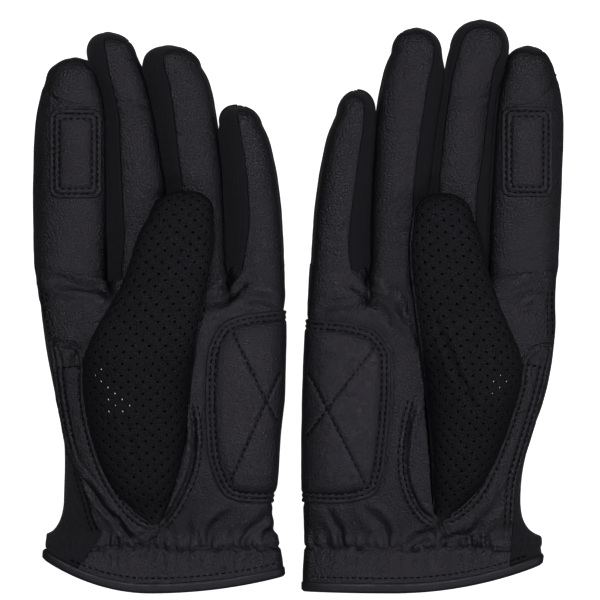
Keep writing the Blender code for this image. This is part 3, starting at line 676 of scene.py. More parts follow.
def sweep_points(path, normals, profile):
    """Points and faces of a thin tube whose profile (side, up) follows a path on a surface."""
    side = np.cross(np.gradient(path, axis=0), normals)
    side /= np.linalg.norm(side, axis=1, keepdims=True)
    points = path[:, None] + side[:, None] * profile[:, :1] + normals[:, None] * profile[:, 1:]
    index = np.arange(len(path) * len(profile)).reshape(len(path), -1)
    ahead = np.roll(index, -1, axis=0)
    quads = np.stack([index, np.roll(index, -1, axis=1), np.roll(ahead, -1, axis=1), ahead], axis=-1)
    return points.reshape(-1, 3), [quads[:-1].reshape(-1, 4), index[:1, ::-1], index[-1:]]


class Sheet:
    """A panel of leather or textile cut from a tube.

    It is kept where field(plan, u, v) is positive and raised by height(plan, u, v). spans are its lowest
    and highest u and v, roll is the depth and width of its rolled edge, and mesh replaces an even grid.
    """

    def __init__(self, tube, spans, field, height, thickness=LEATHER, roll=(0.5, 0.9), radius=None,
                 grid=GRID, mesh=None):
        self.tube, self.height = tube, height
        if mesh is None:
            if radius is None:
                _, half, _, _, tall = tube.rings(np.array([(spans[2] + spans[3]) / 2]))
                radius = float(half[0] + tall[0]) * 0.78
            mesh = grid_of(spans, radius, grid)
        u, v, tris = mesh
        tris, rows = clip(tris, field(self.plan(u, v), u, v), np.stack([u, v], axis=1))
        u, v = rows[:, 0], rows[:, 1]
        plan = self.plan(u, v)
        depth, width = roll
        t = np.clip(1 - np.maximum(field(plan, u, v), 0) / width, 0, 1)
        rise = height(plan, u, v)
        normals = tube.normals(u, v)
        outer = tube.points(u, v) + normals * (rise - depth * (1 - np.sqrt(1 - t * t)))[:, None]
        self.wear = np.clip(rise - np.median(rise), -1, 1)
        self.points, self.faces = shell(outer, normals, tris, thickness)

    def plan(self, u, v):
        """Points of the tube, with x carried on outwards beyond the silhouette and y as in the outlines."""
        p = self.tube.points(u, v)
        middle, half, _, _, tall = self.tube.rings(v)
        x = np.where(u < 0, middle + half + np.clip(-u, 0, 1.2) * tall, p[:, 0])
        x = np.where(u > np.pi, middle - half - np.clip(u - np.pi, 0, 1.2) * tall, x)
        return np.stack([x, p[:, 1] - CENTRE_Y, p[:, 2]], axis=1)

    def at(self, path):
        """Points and normals on this sheet's outer face over a path in the plan."""
        path = np.asarray(path, float)
        across = self.tube.on_top(path + (0.3, 0)) - self.tube.on_top(path - (0.3, 0))
        ahead = self.tube.on_top(path + (0, 0.3)) - self.tube.on_top(path - (0, 0.3))
        normals = np.cross(across, ahead)
        normals /= np.linalg.norm(normals, axis=1, keepdims=True)
        base = self.tube.on_top(path)
        plan = np.stack([path[:, 0], path[:, 1], base[:, 2]], axis=1)
        rise = self.height(plan, np.full(len(path), np.pi / 2), path[:, 1])
        return base + normals * rise[:, None], normals


def sew(sheet, path, closed=False):
    """Stitches along a path on a sheet."""
    return stitch_points(*sheet.at(resample(np.vstack([path, path[:1]]) if closed else path)))


# objects


def make(name, side, made, look, nodes=(), bend=None):
    """A mesh object from a sheet or a list of (points, faces). The right glove is mirrored here.

    It rides on the hand, or with bend=(digit, line, reach) it stays where it is made, with its transform
    applied; the digit, line and reach are not used.
    """
    worn = made.wear if isinstance(made, Sheet) else ()
    parts = [(made.points, made.faces)] if isinstance(made, Sheet) else made
    points, faces, count = [], [], 0
    for some, groups in parts:
        points.append(some)
        faces += [np.asarray(group) + count for group in groups]
        count += len(some)
    points = np.vstack(points)
    rest = points + GRAIN_SHIFT[side]
    if side == "right":
        points = points * (-1, 1, 1)
        faces = [group[:, ::-1] for group in faces]
    sizes = np.concatenate([np.full(len(group), group.shape[1]) for group in faces])
    mesh = bpy.data.meshes.new(f"{side}_{name}")
    mesh.vertices.add(len(points))
    mesh.vertices.foreach_set("co", (points * MM).astype(np.float32).ravel())
    mesh.loops.add(int(sizes.sum()))
    mesh.loops.foreach_set("vertex_index", np.concatenate([g.ravel() for g in faces]).astype(np.int32))
    mesh.polygons.add(len(sizes))
    mesh.polygons.foreach_set("loop_start", (np.cumsum(sizes) - sizes).astype(np.int32))
    mesh.update(calc_edges=True)
    mesh.materials.append(look)
    where = mesh.attributes.new("rest", "FLOAT_VECTOR", "POINT")
    where.data.foreach_set("vector", rest.astype(np.float32).ravel())
    lift = np.zeros(len(points), np.float32)
    lift[:len(worn)] = worn
    mesh.attributes.new("wear", "FLOAT", "POINT").data.foreach_set("value", lift)
    mesh.shade_smooth()
    mesh.set_sharp_from_angle(angle=math.radians(50))
    piece = bpy.data.objects.new(f"{side}_{name}", mesh)
    bpy.context.scene.collection.objects.link(piece)
    if nodes:
        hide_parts(*[f"{side}_{node}" for node in nodes])
    if bend:
        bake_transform(piece)
    else:
        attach(piece, f"{side}_hand")
    return piece


# materials


def material(name, colour, roughness, build=None):
    made = bpy.data.materials.new(name)
    made.use_nodes = True
    shader = made.node_tree.nodes["Principled BSDF"]
    shader.inputs["Base Color"].default_value = (*colour, 1)
    shader.inputs["Roughness"].default_value = roughness
    if build:
        build(made.node_tree, shader)
    return made


def add(tree, kind, **settings):
    node = tree.nodes.new(kind)
    for key, value in settings.items():
        if key in node.inputs:
            node.inputs[key].default_value = value
        else:
            setattr(node, key, value)
    return node


def fed(tree, kind, at, **settings):
    """A texture node that takes its place from this vector."""
    node = add(tree, kind, **settings)
    tree.links.new(at, node.inputs["Vector"])
    return node


def noise_node(tree, at, scale, detail, roughness=0.5, output="Fac"):
    node = fed(tree, "ShaderNodeTexNoise", at, Scale=scale, Detail=detail, Roughness=roughness)
    return node.outputs[output]


def rest_vector(tree):
    return add(tree, "ShaderNodeAttribute", attribute_name="rest").outputs["Vector"]


def ramp(tree, value, low, high, to_low, to_high):
    ends = {"From Min": low, "From Max": high, "To Min": to_low, "To Max": to_high}
    node = add(tree, "ShaderNodeMapRange", **ends)
    tree.links.new(value, node.inputs["Value"])
    return node.outputs["Result"]


def maths(tree, kind, a, b):
    node = add(tree, "ShaderNodeMath", operation=kind)
    for socket, value in zip(node.inputs, (a, b)):
        if isinstance(value, (int, float)):
            socket.default_value = value
        else:
            tree.links.new(value, socket)
    return node.outputs[0]


def total(tree, *terms):
    """The sum of terms, each of them an output or (output, factor)."""
    made = None
    for term in terms:
        if isinstance(term, tuple):
            term = maths(tree, "MULTIPLY", *term)
        made = term if made is None else maths(tree, "ADD", made, term)
    return made


def finish(tree, shader, height, bump, distance, share, low, high):
    """Gives the shader its relief, and a colour between low and high by the share."""
    relief = add(tree, "ShaderNodeBump", Strength=bump, Distance=distance)
    tree.links.new(height, relief.inputs["Height"])
    tree.links.new(relief.outputs["Normal"], shader.inputs["Normal"])
    mixed = add(tree, "ShaderNodeMix", data_type="RGBA")
    tree.links.new(share, mixed.inputs["Factor"])
    mixed.inputs[6].default_value = (*low, 1)
    mixed.inputs[7].default_value = (*high, 1)
    tree.links.new(mixed.outputs[2], shader.inputs["Base Color"])


def leather(low, high, grain=0.85, bump=0.8, rough=(0.42, 0.58), shine=0.5):
    """Pebbled leather: rounded cells about a millimetre across, soft blotches and paler raised parts."""

    def build(tree, shader):
        at = rest_vector(tree)
        moved = add(tree, "ShaderNodeVectorMath", operation="MULTIPLY_ADD")
        tree.links.new(noise_node(tree, at, 0.7, 2.0, output="Color"), moved.inputs[0])
        moved.inputs[1].default_value = (0.9, 0.9, 0.9)
        tree.links.new(at, moved.inputs[2])
        moved = moved.outputs[0]
        cells = fed(tree, "ShaderNodeTexVoronoi", moved, feature="SMOOTH_F1", Scale=1 / grain,
                    Smoothness=0.35)
        fine = noise_node(tree, at, 2.6, 4.0, 0.6)
        folds = noise_node(tree, moved, 0.32, 3.0, 0.55)
        blotch = noise_node(tree, at, 0.045, 3.0)
        lift = add(tree, "ShaderNodeAttribute", attribute_name="wear").outputs["Fac"]
        height = total(tree, (cells.outputs["Distance"], -0.55), (fine, 0.5), (folds, 0.35))
        share = total(tree, ramp(tree, blotch, 0.3, 0.7, 0.0, 0.7), ramp(tree, lift, 0.1, 0.8, 0.0, 0.9),
                      ramp(tree, fine, 0.35, 0.7, -0.15, 0.25))
        finish(tree, shader, height, bump, 0.0006, share, low, high)
        sheen = ramp(tree, folds, 0.3, 0.7, *rough)
        sheen = maths(tree, "SUBTRACT", sheen, ramp(tree, lift, 0.15, 0.7, 0.0, 0.14))
        tree.links.new(sheen, shader.inputs["Roughness"])
        shader.inputs["Specular IOR Level"].default_value = shine

    return build


def weave(low, high, pitch=0.62, bump=0.7):
    """Knitted stretch textile: fine ribs crossed by finer ones."""

    def build(tree, shader):
        at = rest_vector(tree)
        settings = {"Scale": 0.314 / pitch, "Distortion": 0.6, "Detail Scale": 3.0}
        ribs = [fed(tree, "ShaderNodeTexWave", at, bands_direction=axis, **settings).outputs["Fac"]
                for axis in "XYZ"]
        height = total(tree, (ribs[0], ribs[1]), (ribs[2], 0.6), (noise_node(tree, at, 3.5, 3.0), 0.8))
        finish(tree, shader, height, bump, 0.0004, ramp(tree, height, 0.2, 1.5, 0.0, 1.0), low, high)
        shader.inputs["Sheen Weight"].default_value = 0.05
        shader.inputs["Sheen Roughness"].default_value = 0.5

    return build


def speckle(low, high, size=1.2, bump=0.3, shine=0.5):
    """A fine even grain, for thread, rubber, foam and tape."""

    def build(tree, shader):
        grains = noise_node(tree, rest_vector(tree), 1 / size, 4.0)
        finish(tree, shader, grains, bump, 0.0003, ramp(tree, grains, 0.3, 0.7, 0.0, 1.0), low, high)
        shader.inputs["Specular IOR Level"].default_value = shine

    return build


BLACK = (0.012, 0.012, 0.013)
SOFT_BLACK = (0.02, 0.02, 0.023)
LEATHER_LOOK = material("palm_leather", SOFT_BLACK, 0.5, leather(
    (0.0022, 0.0021, 0.0028), (0.0072, 0.0069, 0.0088), rough=(0.27, 0.42)))
PAD_LOOK = material("pad_leather", SOFT_BLACK, 0.5, leather(
    (0.004, 0.0038, 0.0048), (0.0105, 0.0101, 0.0126), rough=(0.34, 0.48)))
BINDING_LOOK = material("binding_leather", SOFT_BLACK, 0.5, leather(
    (0.0042, 0.0041, 0.005), (0.009, 0.0088, 0.0105), bump=0.2))
PERFORATED_LOOK = material("perforated_leather", BLACK, 0.55, leather(
    (0.0015, 0.0013, 0.0019), (0.0044, 0.0038, 0.0054), 0.6, 0.9, (0.45, 0.62), 0.3))
TEXTILE_LOOK = material("stretch_textile", (0.006, 0.005, 0.009), 0.85, weave(
    (0.001, 0.0009, 0.0014), (0.0036, 0.003, 0.0048), bump=0.5))
BACK_LOOK = material("back_textile", (0.01, 0.01, 0.011), 0.8, weave(
    (0.0014, 0.0013, 0.0018), (0.006, 0.0056, 0.0072), pitch=0.9))
THREAD_LOOK = material("thread", BLACK, 0.8, speckle(
    (0.0012, 0.0012, 0.0014), (0.004, 0.004, 0.0046), 0.4, shine=0.12))
RUBBER_LOOK = material("guard_rubber", (0.012, 0.012, 0.012), 0.55, speckle(
    (0.009, 0.009, 0.009), (0.016, 0.016, 0.016)))
FOAM_LOOK = material("pad_foam", (0.03, 0.03, 0.032), 0.9, speckle(
    (0.015, 0.015, 0.016), (0.05, 0.05, 0.055), 0.5))
TAPE_LOOK = material("hook_and_loop_tape", (0.008, 0.008, 0.009), 0.9, speckle(
    (0.003, 0.003, 0.004), (0.018, 0.018, 0.02), 0.35, 0.9))
WEBBING_LOOK = material("elastic_webbing", BLACK, 0.8, weave(
    (0.005, 0.005, 0.006), (0.022, 0.022, 0.024), pitch=1.1))


# the fingers


def lap(u, v):
    """Neighbouring fingers press together: the low flank of one overhangs the high flank of the next."""
    high_side = 0.6 * bell(u, -0.45, 0.25) - 0.8 * bell(u, 0.14, 0.2)
    low_side = 0.95 * bell(u, np.pi - 0.14, 0.2) - 0.45 * bell(u, np.pi + 0.45, 0.25)
    return (high_side + low_side) * step(104, 97, v)


def build_finger(side, name, size, seed):
    """The three panels of a finger: leather front, textile side band and textile back."""
    table = size[name]
    bend = (name, table["line"], FINGER_REACH)
    tube = finger_tube(table)
    end = tube.end - TIP_GAP
    outline = rounded_path(table["leather"], closed=True, steps=5)
    creases = size["finger_creases"][name]

    def tucked(u, v, depth, low, high):
        """The root dips under the palm's edge, less so on a flank beside another finger."""
        flank = (name != "little") * bell(u, 0, 0.55) + (name != "index") * bell(u, np.pi, 0.55)
        return -depth * (1 - step(low, high, v)) * (1 - 0.8 * flank)

    def leather_field(plan, u, v):
        return np.minimum(inside(plan, outline), v - 7.4)

    def leather_height(plan, u, v):
        wrinkles = leather_noise(plan, seed) * step(14, 24, v)
        return tucked(u, v, 0.75, 9.8, 16.6) + lap(u, v) + 0.8 * wrinkles + 0.5 * grooves(plan, creases)

    front = Sheet(tube, (-0.75, np.pi + 0.75, 7.2, end), leather_field, leather_height)
    make(f"{name}_leather", side, front, LEATHER_LOOK, [f"{name}_front"], bend)

    def band_field(plan, u, v):
        return np.minimum(2.6 - inside(plan, outline), v - 8.4)

    def band_height(plan, u, v):
        under = 0.75 * step(-0.6, 0.6, inside(plan, outline))
        return lap(u, v) - under + 0.05 * noise(plan, 4, seed + 9) + tucked(u, v, 0.5, 12, 19)

    band = Sheet(tube, (-1.25, np.pi + 1.25, 8.2, end), band_field, band_height, 0.7, (0.2, 0.5))
    make(f"{name}_side_textile", side, band, TEXTILE_LOOK, [f"{name}_side_band"], bend)

    def back_field(plan, u, v):
        return np.minimum(np.minimum(u - np.pi - 0.66, 2 * np.pi - 0.66 - u) * 6, v - 8.0)

    def back_height(plan, u, v):
        return 0.35 - 0.9 * (1 - step(11, 19, v)) + 0.06 * noise(plan, 3, seed + 3)

    back = Sheet(tube, (np.pi + 0.55, 2 * np.pi - 0.55, 7.8, end), back_field, back_height, 0.9)
    make(f"{name}_back_textile", side, back, BACK_LOOK, [f"{name}_back"], bend)
    return tube, front


def build_patch(side, size, tube, front):
    """The reinforcing patch on the index finger, and the raised seam round its tip."""
    low_x, high_x, low_y, high_y, radius = size["patch"]
    outline = rounded_box(low_x, high_x, low_y, high_y, radius)
    bend = ("index", size["index"]["line"], FINGER_REACH)

    def field(plan, u, v):
        return inside(plan, outline)

    def height(plan, u, v):
        inward = np.maximum(inside(plan, outline), 0)
        seams = seam_grooves(inward, PATCH_ROWS)
        return front.height(plan, u, v) + 0.75 + 0.25 * step(4.5, 8, inward) + seams

    patch = Sheet(tube, (0.1, np.pi - 0.1, low_y - 1, high_y + 1), field, height, 1.2, (0.6, 0.9), grid=FINE)
    make("index_reinforcement", side, patch, PAD_LOOK, ["index_patch"], bend)
    turn = np.radians(np.arange(0, 360, 60))
    profile = np.stack([0.34 * np.cos(turn), 0.02 + 0.3 * np.sin(turn)], axis=1)
    seam = sweep_points(*front.at(resample(rounded_path(size["cap"]), 0.6)), profile)
    make("index_tip_seam", side, [seam], LEATHER_LOOK, bend=bend)
    rows = [sew(patch, rounded_box(low_x + k, high_x - k, low_y + k, high_y - k, radius - 0.6 * k), True)
            for k in PATCH_ROWS]
    make("index_patch_stitches", side, rows, THREAD_LOOK, bend=bend)


# the hand


def gather(plan, seed):
    """The puckered line over the wrist elastic."""
    x, y = plan[:, 0], plan[:, 1]
    pucker = np.cos(2 * np.pi * (x / PUCKER + 0.8 * noise(plan * (1, 0.25, 0), 9, seed)))
    line = y - GATHER_Y + 0.5 * np.sin(x / 9) + 0.5 * pucker + 0.7 * noise(plan * (1, 0, 0), 5, seed + 7)
    strength = 0.7 + 0.6 * noise(plan * (1, 0, 0), 8, seed + 8)
    below = bell(line, -4.5, 4.0) * (line < 0)
    above = bell(line, 3.0, 3.2) * (line > 0)
    return 0.7 * (0.4 + 0.6 * pucker) * (above + 0.5 * below) * strength - 0.85 * bell(line, 0, 0.8)


def build_hand(side, size, fingers, seed):
    """The panels of the hand and wrist with their stitches."""
    hand = HandTube(size, fingers)
    opening, gusset, band_outline, pad_outline = [
        rounded_path(size[key], closed=True) for key in ("opening", "gusset", "band", "pad")]
    seam, foot, lip_path = [rounded_path(size[key]) for key in ("seam", "band_foot", "lip")]
    end = smooth(size["end"])
    outer = np.vstack([seam, [(-40, -126), (40, -126), (40, 30), (-118, 30)]])
    past_silhouette = np.pi + 0.2

    def palm_height(plan, u, v):
        away, along = to_path(plan, lip_path)
        ends = step(0, 6, along) * step(0, 4, run_along(lip_path)[-1] - along)
        lip = ends * (0.5 * bell(away, 2.2, 1.3) - 0.75 * bell(away, 0, 0.75))
        dip = -0.5 * bell(-inside(plan, pad_outline), 0.2, 1.2)
        return lip + dip + gather(plan, seed) + leather_noise(plan, seed) + grooves(plan, size["creases"])

    def palm_field(plan, u, v):
        kept = np.minimum(inside(plan, outer), -inside(plan, opening))
        kept = np.minimum(kept, -inside(plan, gusset))
        return np.minimum(kept, end(plan[:, 0]) - plan[:, 1])

    palm = Sheet(hand, (-0.16, np.pi + 0.16, CUFF_V, 17.5), palm_field, palm_height, LEATHER, (0.2, 0.7),
                 HAND_RADIUS)
    make("palm_leather", side, palm, LEATHER_LOOK, ["palm_panel"])

    def back_field(plan, u, v):
        covered = np.minimum(inside(plan, outer), -inside(plan, gusset))
        tuck = np.where(u > past_silhouette, 9.0, 2.4 - covered)
        kept = np.minimum(np.minimum(tuck, (2 * np.pi - 0.04 - u) * 40), 15.5 - v)
        true = hand.points(u, v)
        for x, y in VENTS[side]:
            away = np.where(u > past_silhouette, np.hypot(true[:, 0] - x, true[:, 1] - CENTRE_Y - y), 9)
            kept = np.minimum(kept, away - VENT_RADIUS)
        return kept

    def back_height(plan, u, v):
        puckers = np.where(plan[:, 1] < -95, gather(plan, seed), 0)
        return -0.75 + 0.08 * noise(plan, 5, seed + 2) + 0.5 * puckers

    back = Sheet(hand, (np.pi - 0.85, 2 * np.pi, CUFF_V, 15.8), back_field, back_height, 1.0,
                 radius=HAND_RADIUS)
    make("back_textile", side, back, BACK_LOOK, ["back_panel"])

    def band_field(plan, u, v):
        return inside(plan, band_outline)

    def band_height(plan, u, v):
        away = to_path(plan, foot)[0]
        seams = seam_grooves(np.maximum(inside(plan, band_outline), 0), BAND_ROWS) * step(1, 6, away)
        relief = leather_noise(plan, seed + 1) + grooves(plan, size["creases"]) + gather(plan, seed)
        low = 0.5 if side == "left" else 0.1
        return low + (0.75 - low) * step(0, 7, away) + seams + relief

    band = Sheet(hand, (0.2, np.pi + 0.1, -104, -4), band_field, band_height, 1.2, (0.6, 0.9), HAND_RADIUS,
                 FINE)
    make("side_band_leather", side, band, LEATHER_LOOK, ["side_band"])

    def pad_field(plan, u, v):
        return np.minimum(inside(plan, pad_outline), (u + 0.13) * 40)

    def pad_height(plan, u, v):
        inward = np.maximum(inside(plan, pad_outline), 0)
        quilt = -0.5 * sum(bell(to_path(plan, line)[0], 0, 0.75) for line in size["quilt"])
        quilt *= step(3.6, 6, inward) * step(0.3, 4, hand.high(plan[:, 1]) - plan[:, 0])
        dome = 0.7 + 0.9 * step(3.5, 8, inward) * (1 + 0.3 * step(8, 14, inward)) * step(-2, -14, plan[:, 0])
        return dome + quilt + seam_grooves(inward, PAD_ROWS) + leather_noise(plan, seed + 4) * 0.7

    pad = Sheet(hand, (-0.14, 1.2, -86, 0), pad_field, pad_height, 0.9, (0.5, 0.9), HAND_RADIUS, FINE)
    piece = make("heel_pad_leather", side, pad, PAD_LOOK, ["heel_pad_cover"])

    def foam_field(plan, u, v):
        return inside(plan, pad_outline) - 4.6

    def foam_height(plan, u, v):
        return pad_height(plan, u, v) - 0.95

    foam = Sheet(hand, (0.02, 1.2, -84, -2), foam_field, foam_height, 0.5, (0.2, 0.5), HAND_RADIUS)
    piece = make("heel_pad_padding", side, foam, FOAM_LOOK, ["heel_pad_foam"])

    def hem_field(plan, u, v):
        return np.minimum(v + 121.6, -116.9 - v)

    def hem_height(plan, u, v):
        return 0.55 + 0.06 * noise(plan, 3, seed)

    hem = Sheet(hand, (0, 2 * np.pi, -121.6, -116.9), hem_field, hem_height, 1.9, (0.9, 1.3), 30.0)
    make("cuff_binding_leather", side, hem, BINDING_LOOK, ["cuff_binding"])

    rows = []
    for inset in BAND_ROWS:
        path = offset_path(band_outline, -inset, True)
        path = path[inside(path, band_outline) > inset - 0.2]
        path = path[path[:, 1] < -25]
        path = path[to_path(path, foot)[0] > inset + 1.2]
        rows.append(sew(band, opened(path)))
    make("side_band_stitches", side, rows, THREAD_LOOK)
    rows = []
    for inset in SEAM_ROWS:
        path = offset_path(seam, inset)
        path[:, 0] = np.maximum(path[:, 0], hand.low(path[:, 1]) + 0.4 + inset)
        rows.append(sew(palm, path[(path[:, 1] < 7) & (path[:, 1] > -15)]))
        if side == "left":
            rows.append(sew(palm, path[(path[:, 1] < -70) & (path[:, 1] > -96)]))
        rows.append(sew(palm, offset_path(lip_path, inset - 0.2)))
    hem_line = np.stack([np.linspace(-96, -9, 60), np.full(60, HEM_STITCH_Y)], axis=1)
    hem_line[:, 1] += hand.hem(*hem_line.T)
    rows.append(sew(palm, hem_line))
    make("palm_stitches", side, rows, THREAD_LOOK)
    rows = []
    for inset in PAD_ROWS:
        path = offset_path(pad_outline, inset, True)
        path = path[path[:, 0] < hand.high(path[:, 1]) - 1.3]
        rows.append(sew(pad, opened(path[inside(path, pad_outline) > inset - 0.3])))
    for line in size["quilt"]:
        path = resample(line)
        path = path[path[:, 0] < hand.high(path[:, 1]) - 1.3]
        rows.append(sew(pad, path[inside(path, pad_outline) > 4.6]))
    make("heel_pad_stitches", side, rows, THREAD_LOOK)


# the thumb


def hole_places(tube):
    """u and v of the perforations, in rows that are offset by half a pitch from their neighbours."""
    spots = []
    for number, v in enumerate(np.arange(FIRST_ROW, tube.end - 4.5, ROW_PITCH)):
        scale = tube.radian(v)
        s = (np.arange(-8, 9) + 0.5 * (number % 2)) * HOLE_PITCH
        s = s[np.abs(s) < (np.pi / 2 + 0.5) * scale - 1.2]
        spots.append(np.stack([np.pi / 2 + s / scale, np.full(len(s), v)], axis=1))
    return np.vstack(spots)


def perforated(tube, u_low, u_high, v_low, v_high):
    """u, v and triangles of a sheet with round holes."""
    levels = np.linspace(v_low, v_high, 160)
    scales = np.array([tube.radian(v) for v in levels])
    wide = 14.0  # the plan's units in a radian of u
    holes = hole_places(tube)
    holes = holes[(holes[:, 0] > u_low + 0.05) & (holes[:, 0] < u_high - 0.05)]
    turn = np.radians(np.arange(0, 360, 45))
    centres = np.stack([holes[:, 0] * wide, holes[:, 1]], axis=1)
    stretch = wide / np.interp(holes[:, 1], levels, scales)
    size = np.stack([stretch * HOLE, np.full(len(holes), HOLE)], axis=1)
    rims = centres[:, None] + size[:, None] * np.stack([np.cos(turn), np.sin(turn)], axis=1)
    columns = np.arange(u_low * wide, u_high * wide, 1.25)
    grid = np.stack(np.meshgrid(columns, np.arange(v_low, v_high, 1.1)), axis=-1)
    grid[1::2, 1:-1, 0] += 0.6
    cells = {}
    for index, (x, y) in enumerate(centres):
        cells.setdefault((int(x // 4), int(y // 4)), []).append(index)
    kept = []
    for x, y in grid.reshape(-1, 2).tolist():
        column, row = int(x // 4), int(y // 4)
        near = [k for i in (-1, 0, 1) for j in (-1, 0, 1) for k in cells.get((column + i, row + j), ())]
        off = centres[near] - (x, y)
        if not near or (np.hypot(off[:, 0] / (size[near, 0] / HOLE), off[:, 1]) > HOLE + 0.42).all():
            kept.append((x, y))
    spots = np.vstack([rims.reshape(-1, 2), kept])
    first = np.arange(len(holes) * 8)
    edges = np.stack([first, first // 8 * 8 + (first + 1) % 8], axis=1)
    made = delaunay_2d_cdt([Vector(p) for p in spots.tolist()], edges.tolist(), [], 0, 1e-5)
    flat = np.array([tuple(p) for p in made[0]])
    tris = np.array(made[2])
    middle = flat[tris].mean(axis=1)
    solid = np.ones(len(tris), bool)
    for centre, half in zip(centres, size[:, 0]):
        off = middle - centre
        solid &= np.hypot(off[:, 0] / (half / HOLE), off[:, 1]) > HOLE * 0.95
    tris = tris[solid]
    a, b, c = flat[tris[:, 0]], flat[tris[:, 1]], flat[tris[:, 2]]
    turned = (b[:, 0] - a[:, 0]) * (c[:, 1] - a[:, 1]) - (b[:, 1] - a[:, 1]) * (c[:, 0] - a[:, 0])
    tris = np.where((turned > 0)[:, None], tris[:, ::-1], tris)
    return flat[:, 0] / wide, flat[:, 1], tris[np.abs(turned) > 1e-7]


def build_thumb(side, size, seed):
    """The perforated front of the thumb with its gusset, its plain back, and the leather over their seam."""
    tube = thumb_tube(size["thumb"])
    end = tube.end - TIP_GAP
    wrap = 0.16 if side == "left" else 0.34
    levels = np.linspace(-93, tube.end, 120)
    scales = np.array([tube.radian(v) for v in levels])

    def height(plan, u, v):
        nearest = np.full(len(u), 9.0)
        for shift in (0, 1):
            row = np.floor((v - FIRST_ROW) / ROW_PITCH) + shift
            centre = row * ROW_PITCH + FIRST_ROW
            s = (u - np.pi / 2) * np.interp(centre, levels, scales) / HOLE_PITCH - 0.5 * (row % 2)
            nearest = np.minimum(nearest, np.hypot((s - np.round(s)) * HOLE_PITCH, v - centre))
        dimple = -0.32 * bell(nearest, 0, 0.85)
        return dimple + leather_noise(plan, seed) * 0.7 + grooves(plan, size["thumb_creases"])

    def field(plan, u, v):
        deep = 0.1 + 0.75 * step(-24, -36, v)
        return np.minimum(u + deep, np.pi + deep - u) * 12

    mesh = perforated(tube, -0.84, np.pi + 0.84, -92.9, end)
    front = Sheet(tube, None, field, height, 0.9, (0.4, 0.8), mesh=mesh)
    make("thumb_perforated_leather", side, front, PERFORATED_LOOK,
         ["thumb_gusset", "thumb_front"], THUMB_BEND)

    def back_field(plan, u, v):
        return np.minimum(np.minimum(u - np.pi + 0.04, 2 * np.pi + 0.1 - u) * 12, v + 19)

    def back_height(plan, u, v):
        return -0.3 + leather_noise(plan, seed + 1) * 0.7

    back = Sheet(tube, (np.pi - 0.06, 2 * np.pi + 0.12, -19.2, end), back_field, back_height, 1.0)
    make("thumb_back_leather", side, back, LEATHER_LOOK, ["thumb_back"], THUMB_BEND)

    def seam_field(plan, u, v):
        return np.minimum(np.minimum(u + 0.5, wrap - 0.3 * step(30, 42, v) - u) * 12, v + 89)

    def seam_height(plan, u, v):
        return 0.42 + 0.1 * noise(plan, 3, seed)

    edge = Sheet(tube, (-0.52, wrap + 0.04, -89.5, 44), seam_field, seam_height, 1.0, (0.5, 0.9), 22.0)
    make("thumb_seam_leather", side, edge, LEATHER_LOOK, bend=THUMB_BEND)


def vents_of(glove, area, slack):
    """Where light passes through both the perforated leather and the textile behind it."""
    tube = thumb_tube(GLOVES[glove]["thumb"])
    p = tube.points(*hole_places(tube).T)[:, :2] - (0, CENTRE_Y)
    low_x, high_x, low_y, high_y = area
    p = p[(p[:, 0] > low_x) & (p[:, 0] < high_x) & (p[:, 1] > low_y) & (p[:, 1] < high_y)]
    return p[(p[:, 0] - low_x) / (high_x - low_x) < (high_y - p[:, 1]) / (high_y - low_y) + slack]


VENTS = {"left": vents_of("left", (-87, -70, -46, -25.5), 0.2),
         "right": vents_of("right", (-87.5, -80, -38, -29), 0.5)}

KEPT_NODES = {"knuckle_guard": RUBBER_LOOK, "wrist_strap": LEATHER_LOOK, "hook_patch": TAPE_LOOK,
              "loop_patch": TAPE_LOOK, "wrist_elastic": WEBBING_LOOK,
              "fourchette_index_middle": TEXTILE_LOOK, "fourchette_middle_ring": TEXTILE_LOOK,
              "fourchette_ring_little": TEXTILE_LOOK}

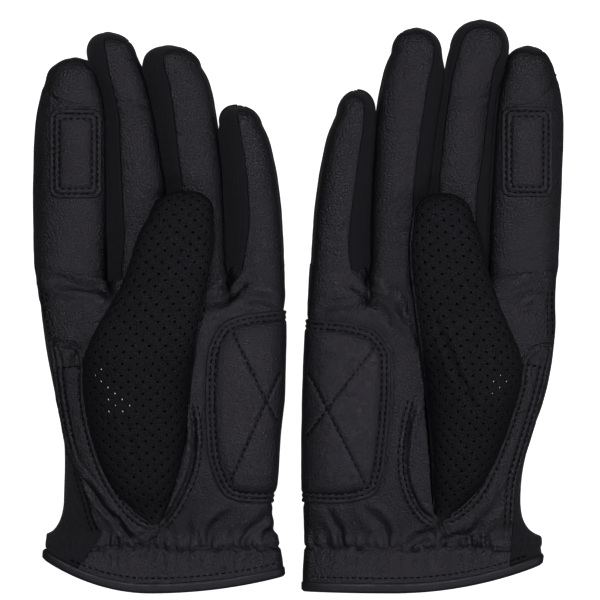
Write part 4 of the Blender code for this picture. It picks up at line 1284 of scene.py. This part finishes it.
for glove, tables in GLOVES.items():
    tubes = []
    for number, digit in enumerate(("index", "middle", "ring", "little")):
        shape, front = build_finger(glove, digit, tables, 10 * number + 3)
        tubes.append(shape)
        if digit == "index":
            build_patch(glove, tables, shape, front)
    build_hand(glove, tables, tubes, 60)
    build_thumb(glove, tables, 80)
    for node, look in KEPT_NODES.items():
        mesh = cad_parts[f"{glove}_{node}"].data
        mesh.materials.clear()
        mesh.materials.append(look)
        spots = np.zeros(len(mesh.vertices) * 3, np.float32)
        mesh.vertices.foreach_get("co", spots)
        mesh.attributes.new("rest", "FLOAT_VECTOR", "POINT").data.foreach_set("vector", spots / MM)


# the table, the light and the camera

bpy.ops.mesh.primitive_plane_add(size=6, location=(0, 0, -0.0005))
table_top = bpy.context.object
table_top.name = "table"
white = material("white_table", (1, 1, 1), 1.0)
glow = white.node_tree.nodes["Principled BSDF"]
glow.inputs["Emission Color"].default_value = (1, 1, 1, 1)
glow.inputs["Emission Strength"].default_value = 1.0
table_top.data.materials.append(white)
table_top.visible_glossy = False

world = bpy.data.worlds.new("studio")
bpy.context.scene.world = world
world.use_nodes = True
sky = world.node_tree.nodes["Background"]
sky.inputs["Color"].default_value = (1, 1, 1, 1)
sky.inputs["Strength"].default_value = 0.1


LAMP_COLOUR = (0.97, 0.915, 1.1)


def lamp(name, size, power, place):
    """A rectangular lamp that points at the middle of the table."""
    data = bpy.data.lights.new(name, "AREA")
    data.shape = "RECTANGLE"
    data.size, data.size_y = size
    data.energy = power
    data.color = LAMP_COLOUR
    made = bpy.data.objects.new(name, data)
    made.location = place
    made.rotation_euler = (-Vector(place)).to_track_quat("-Z", "Y").to_euler()
    bpy.context.scene.collection.objects.link(made)


lamp("overhead", (0.7, 0.35), 11.0, (-0.05, 0.85, 1.75))
lamp("front", (0.7, 0.3), 4.4, (-0.1, -1.0, 1.7))
lamp("side", (0.5, 0.9), 5.6, (1.6, -0.15, 1.4))

EYE_HEIGHT = 2.5
FOCUS_HEIGHT = 0.02
VIEW_WIDTH = 0.252  # at the focus height
SENSOR = 36
camera = bpy.data.cameras.new("camera")
camera.sensor_width = SENSOR
camera.lens = SENSOR * (EYE_HEIGHT - FOCUS_HEIGHT) / VIEW_WIDTH
eye = bpy.data.objects.new("camera", camera)
eye.location = (0.00084, 0.0030, EYE_HEIGHT)
bpy.context.scene.collection.objects.link(eye)
bpy.context.scene.camera = eye
bpy.context.scene.view_settings.view_transform = "Standard"
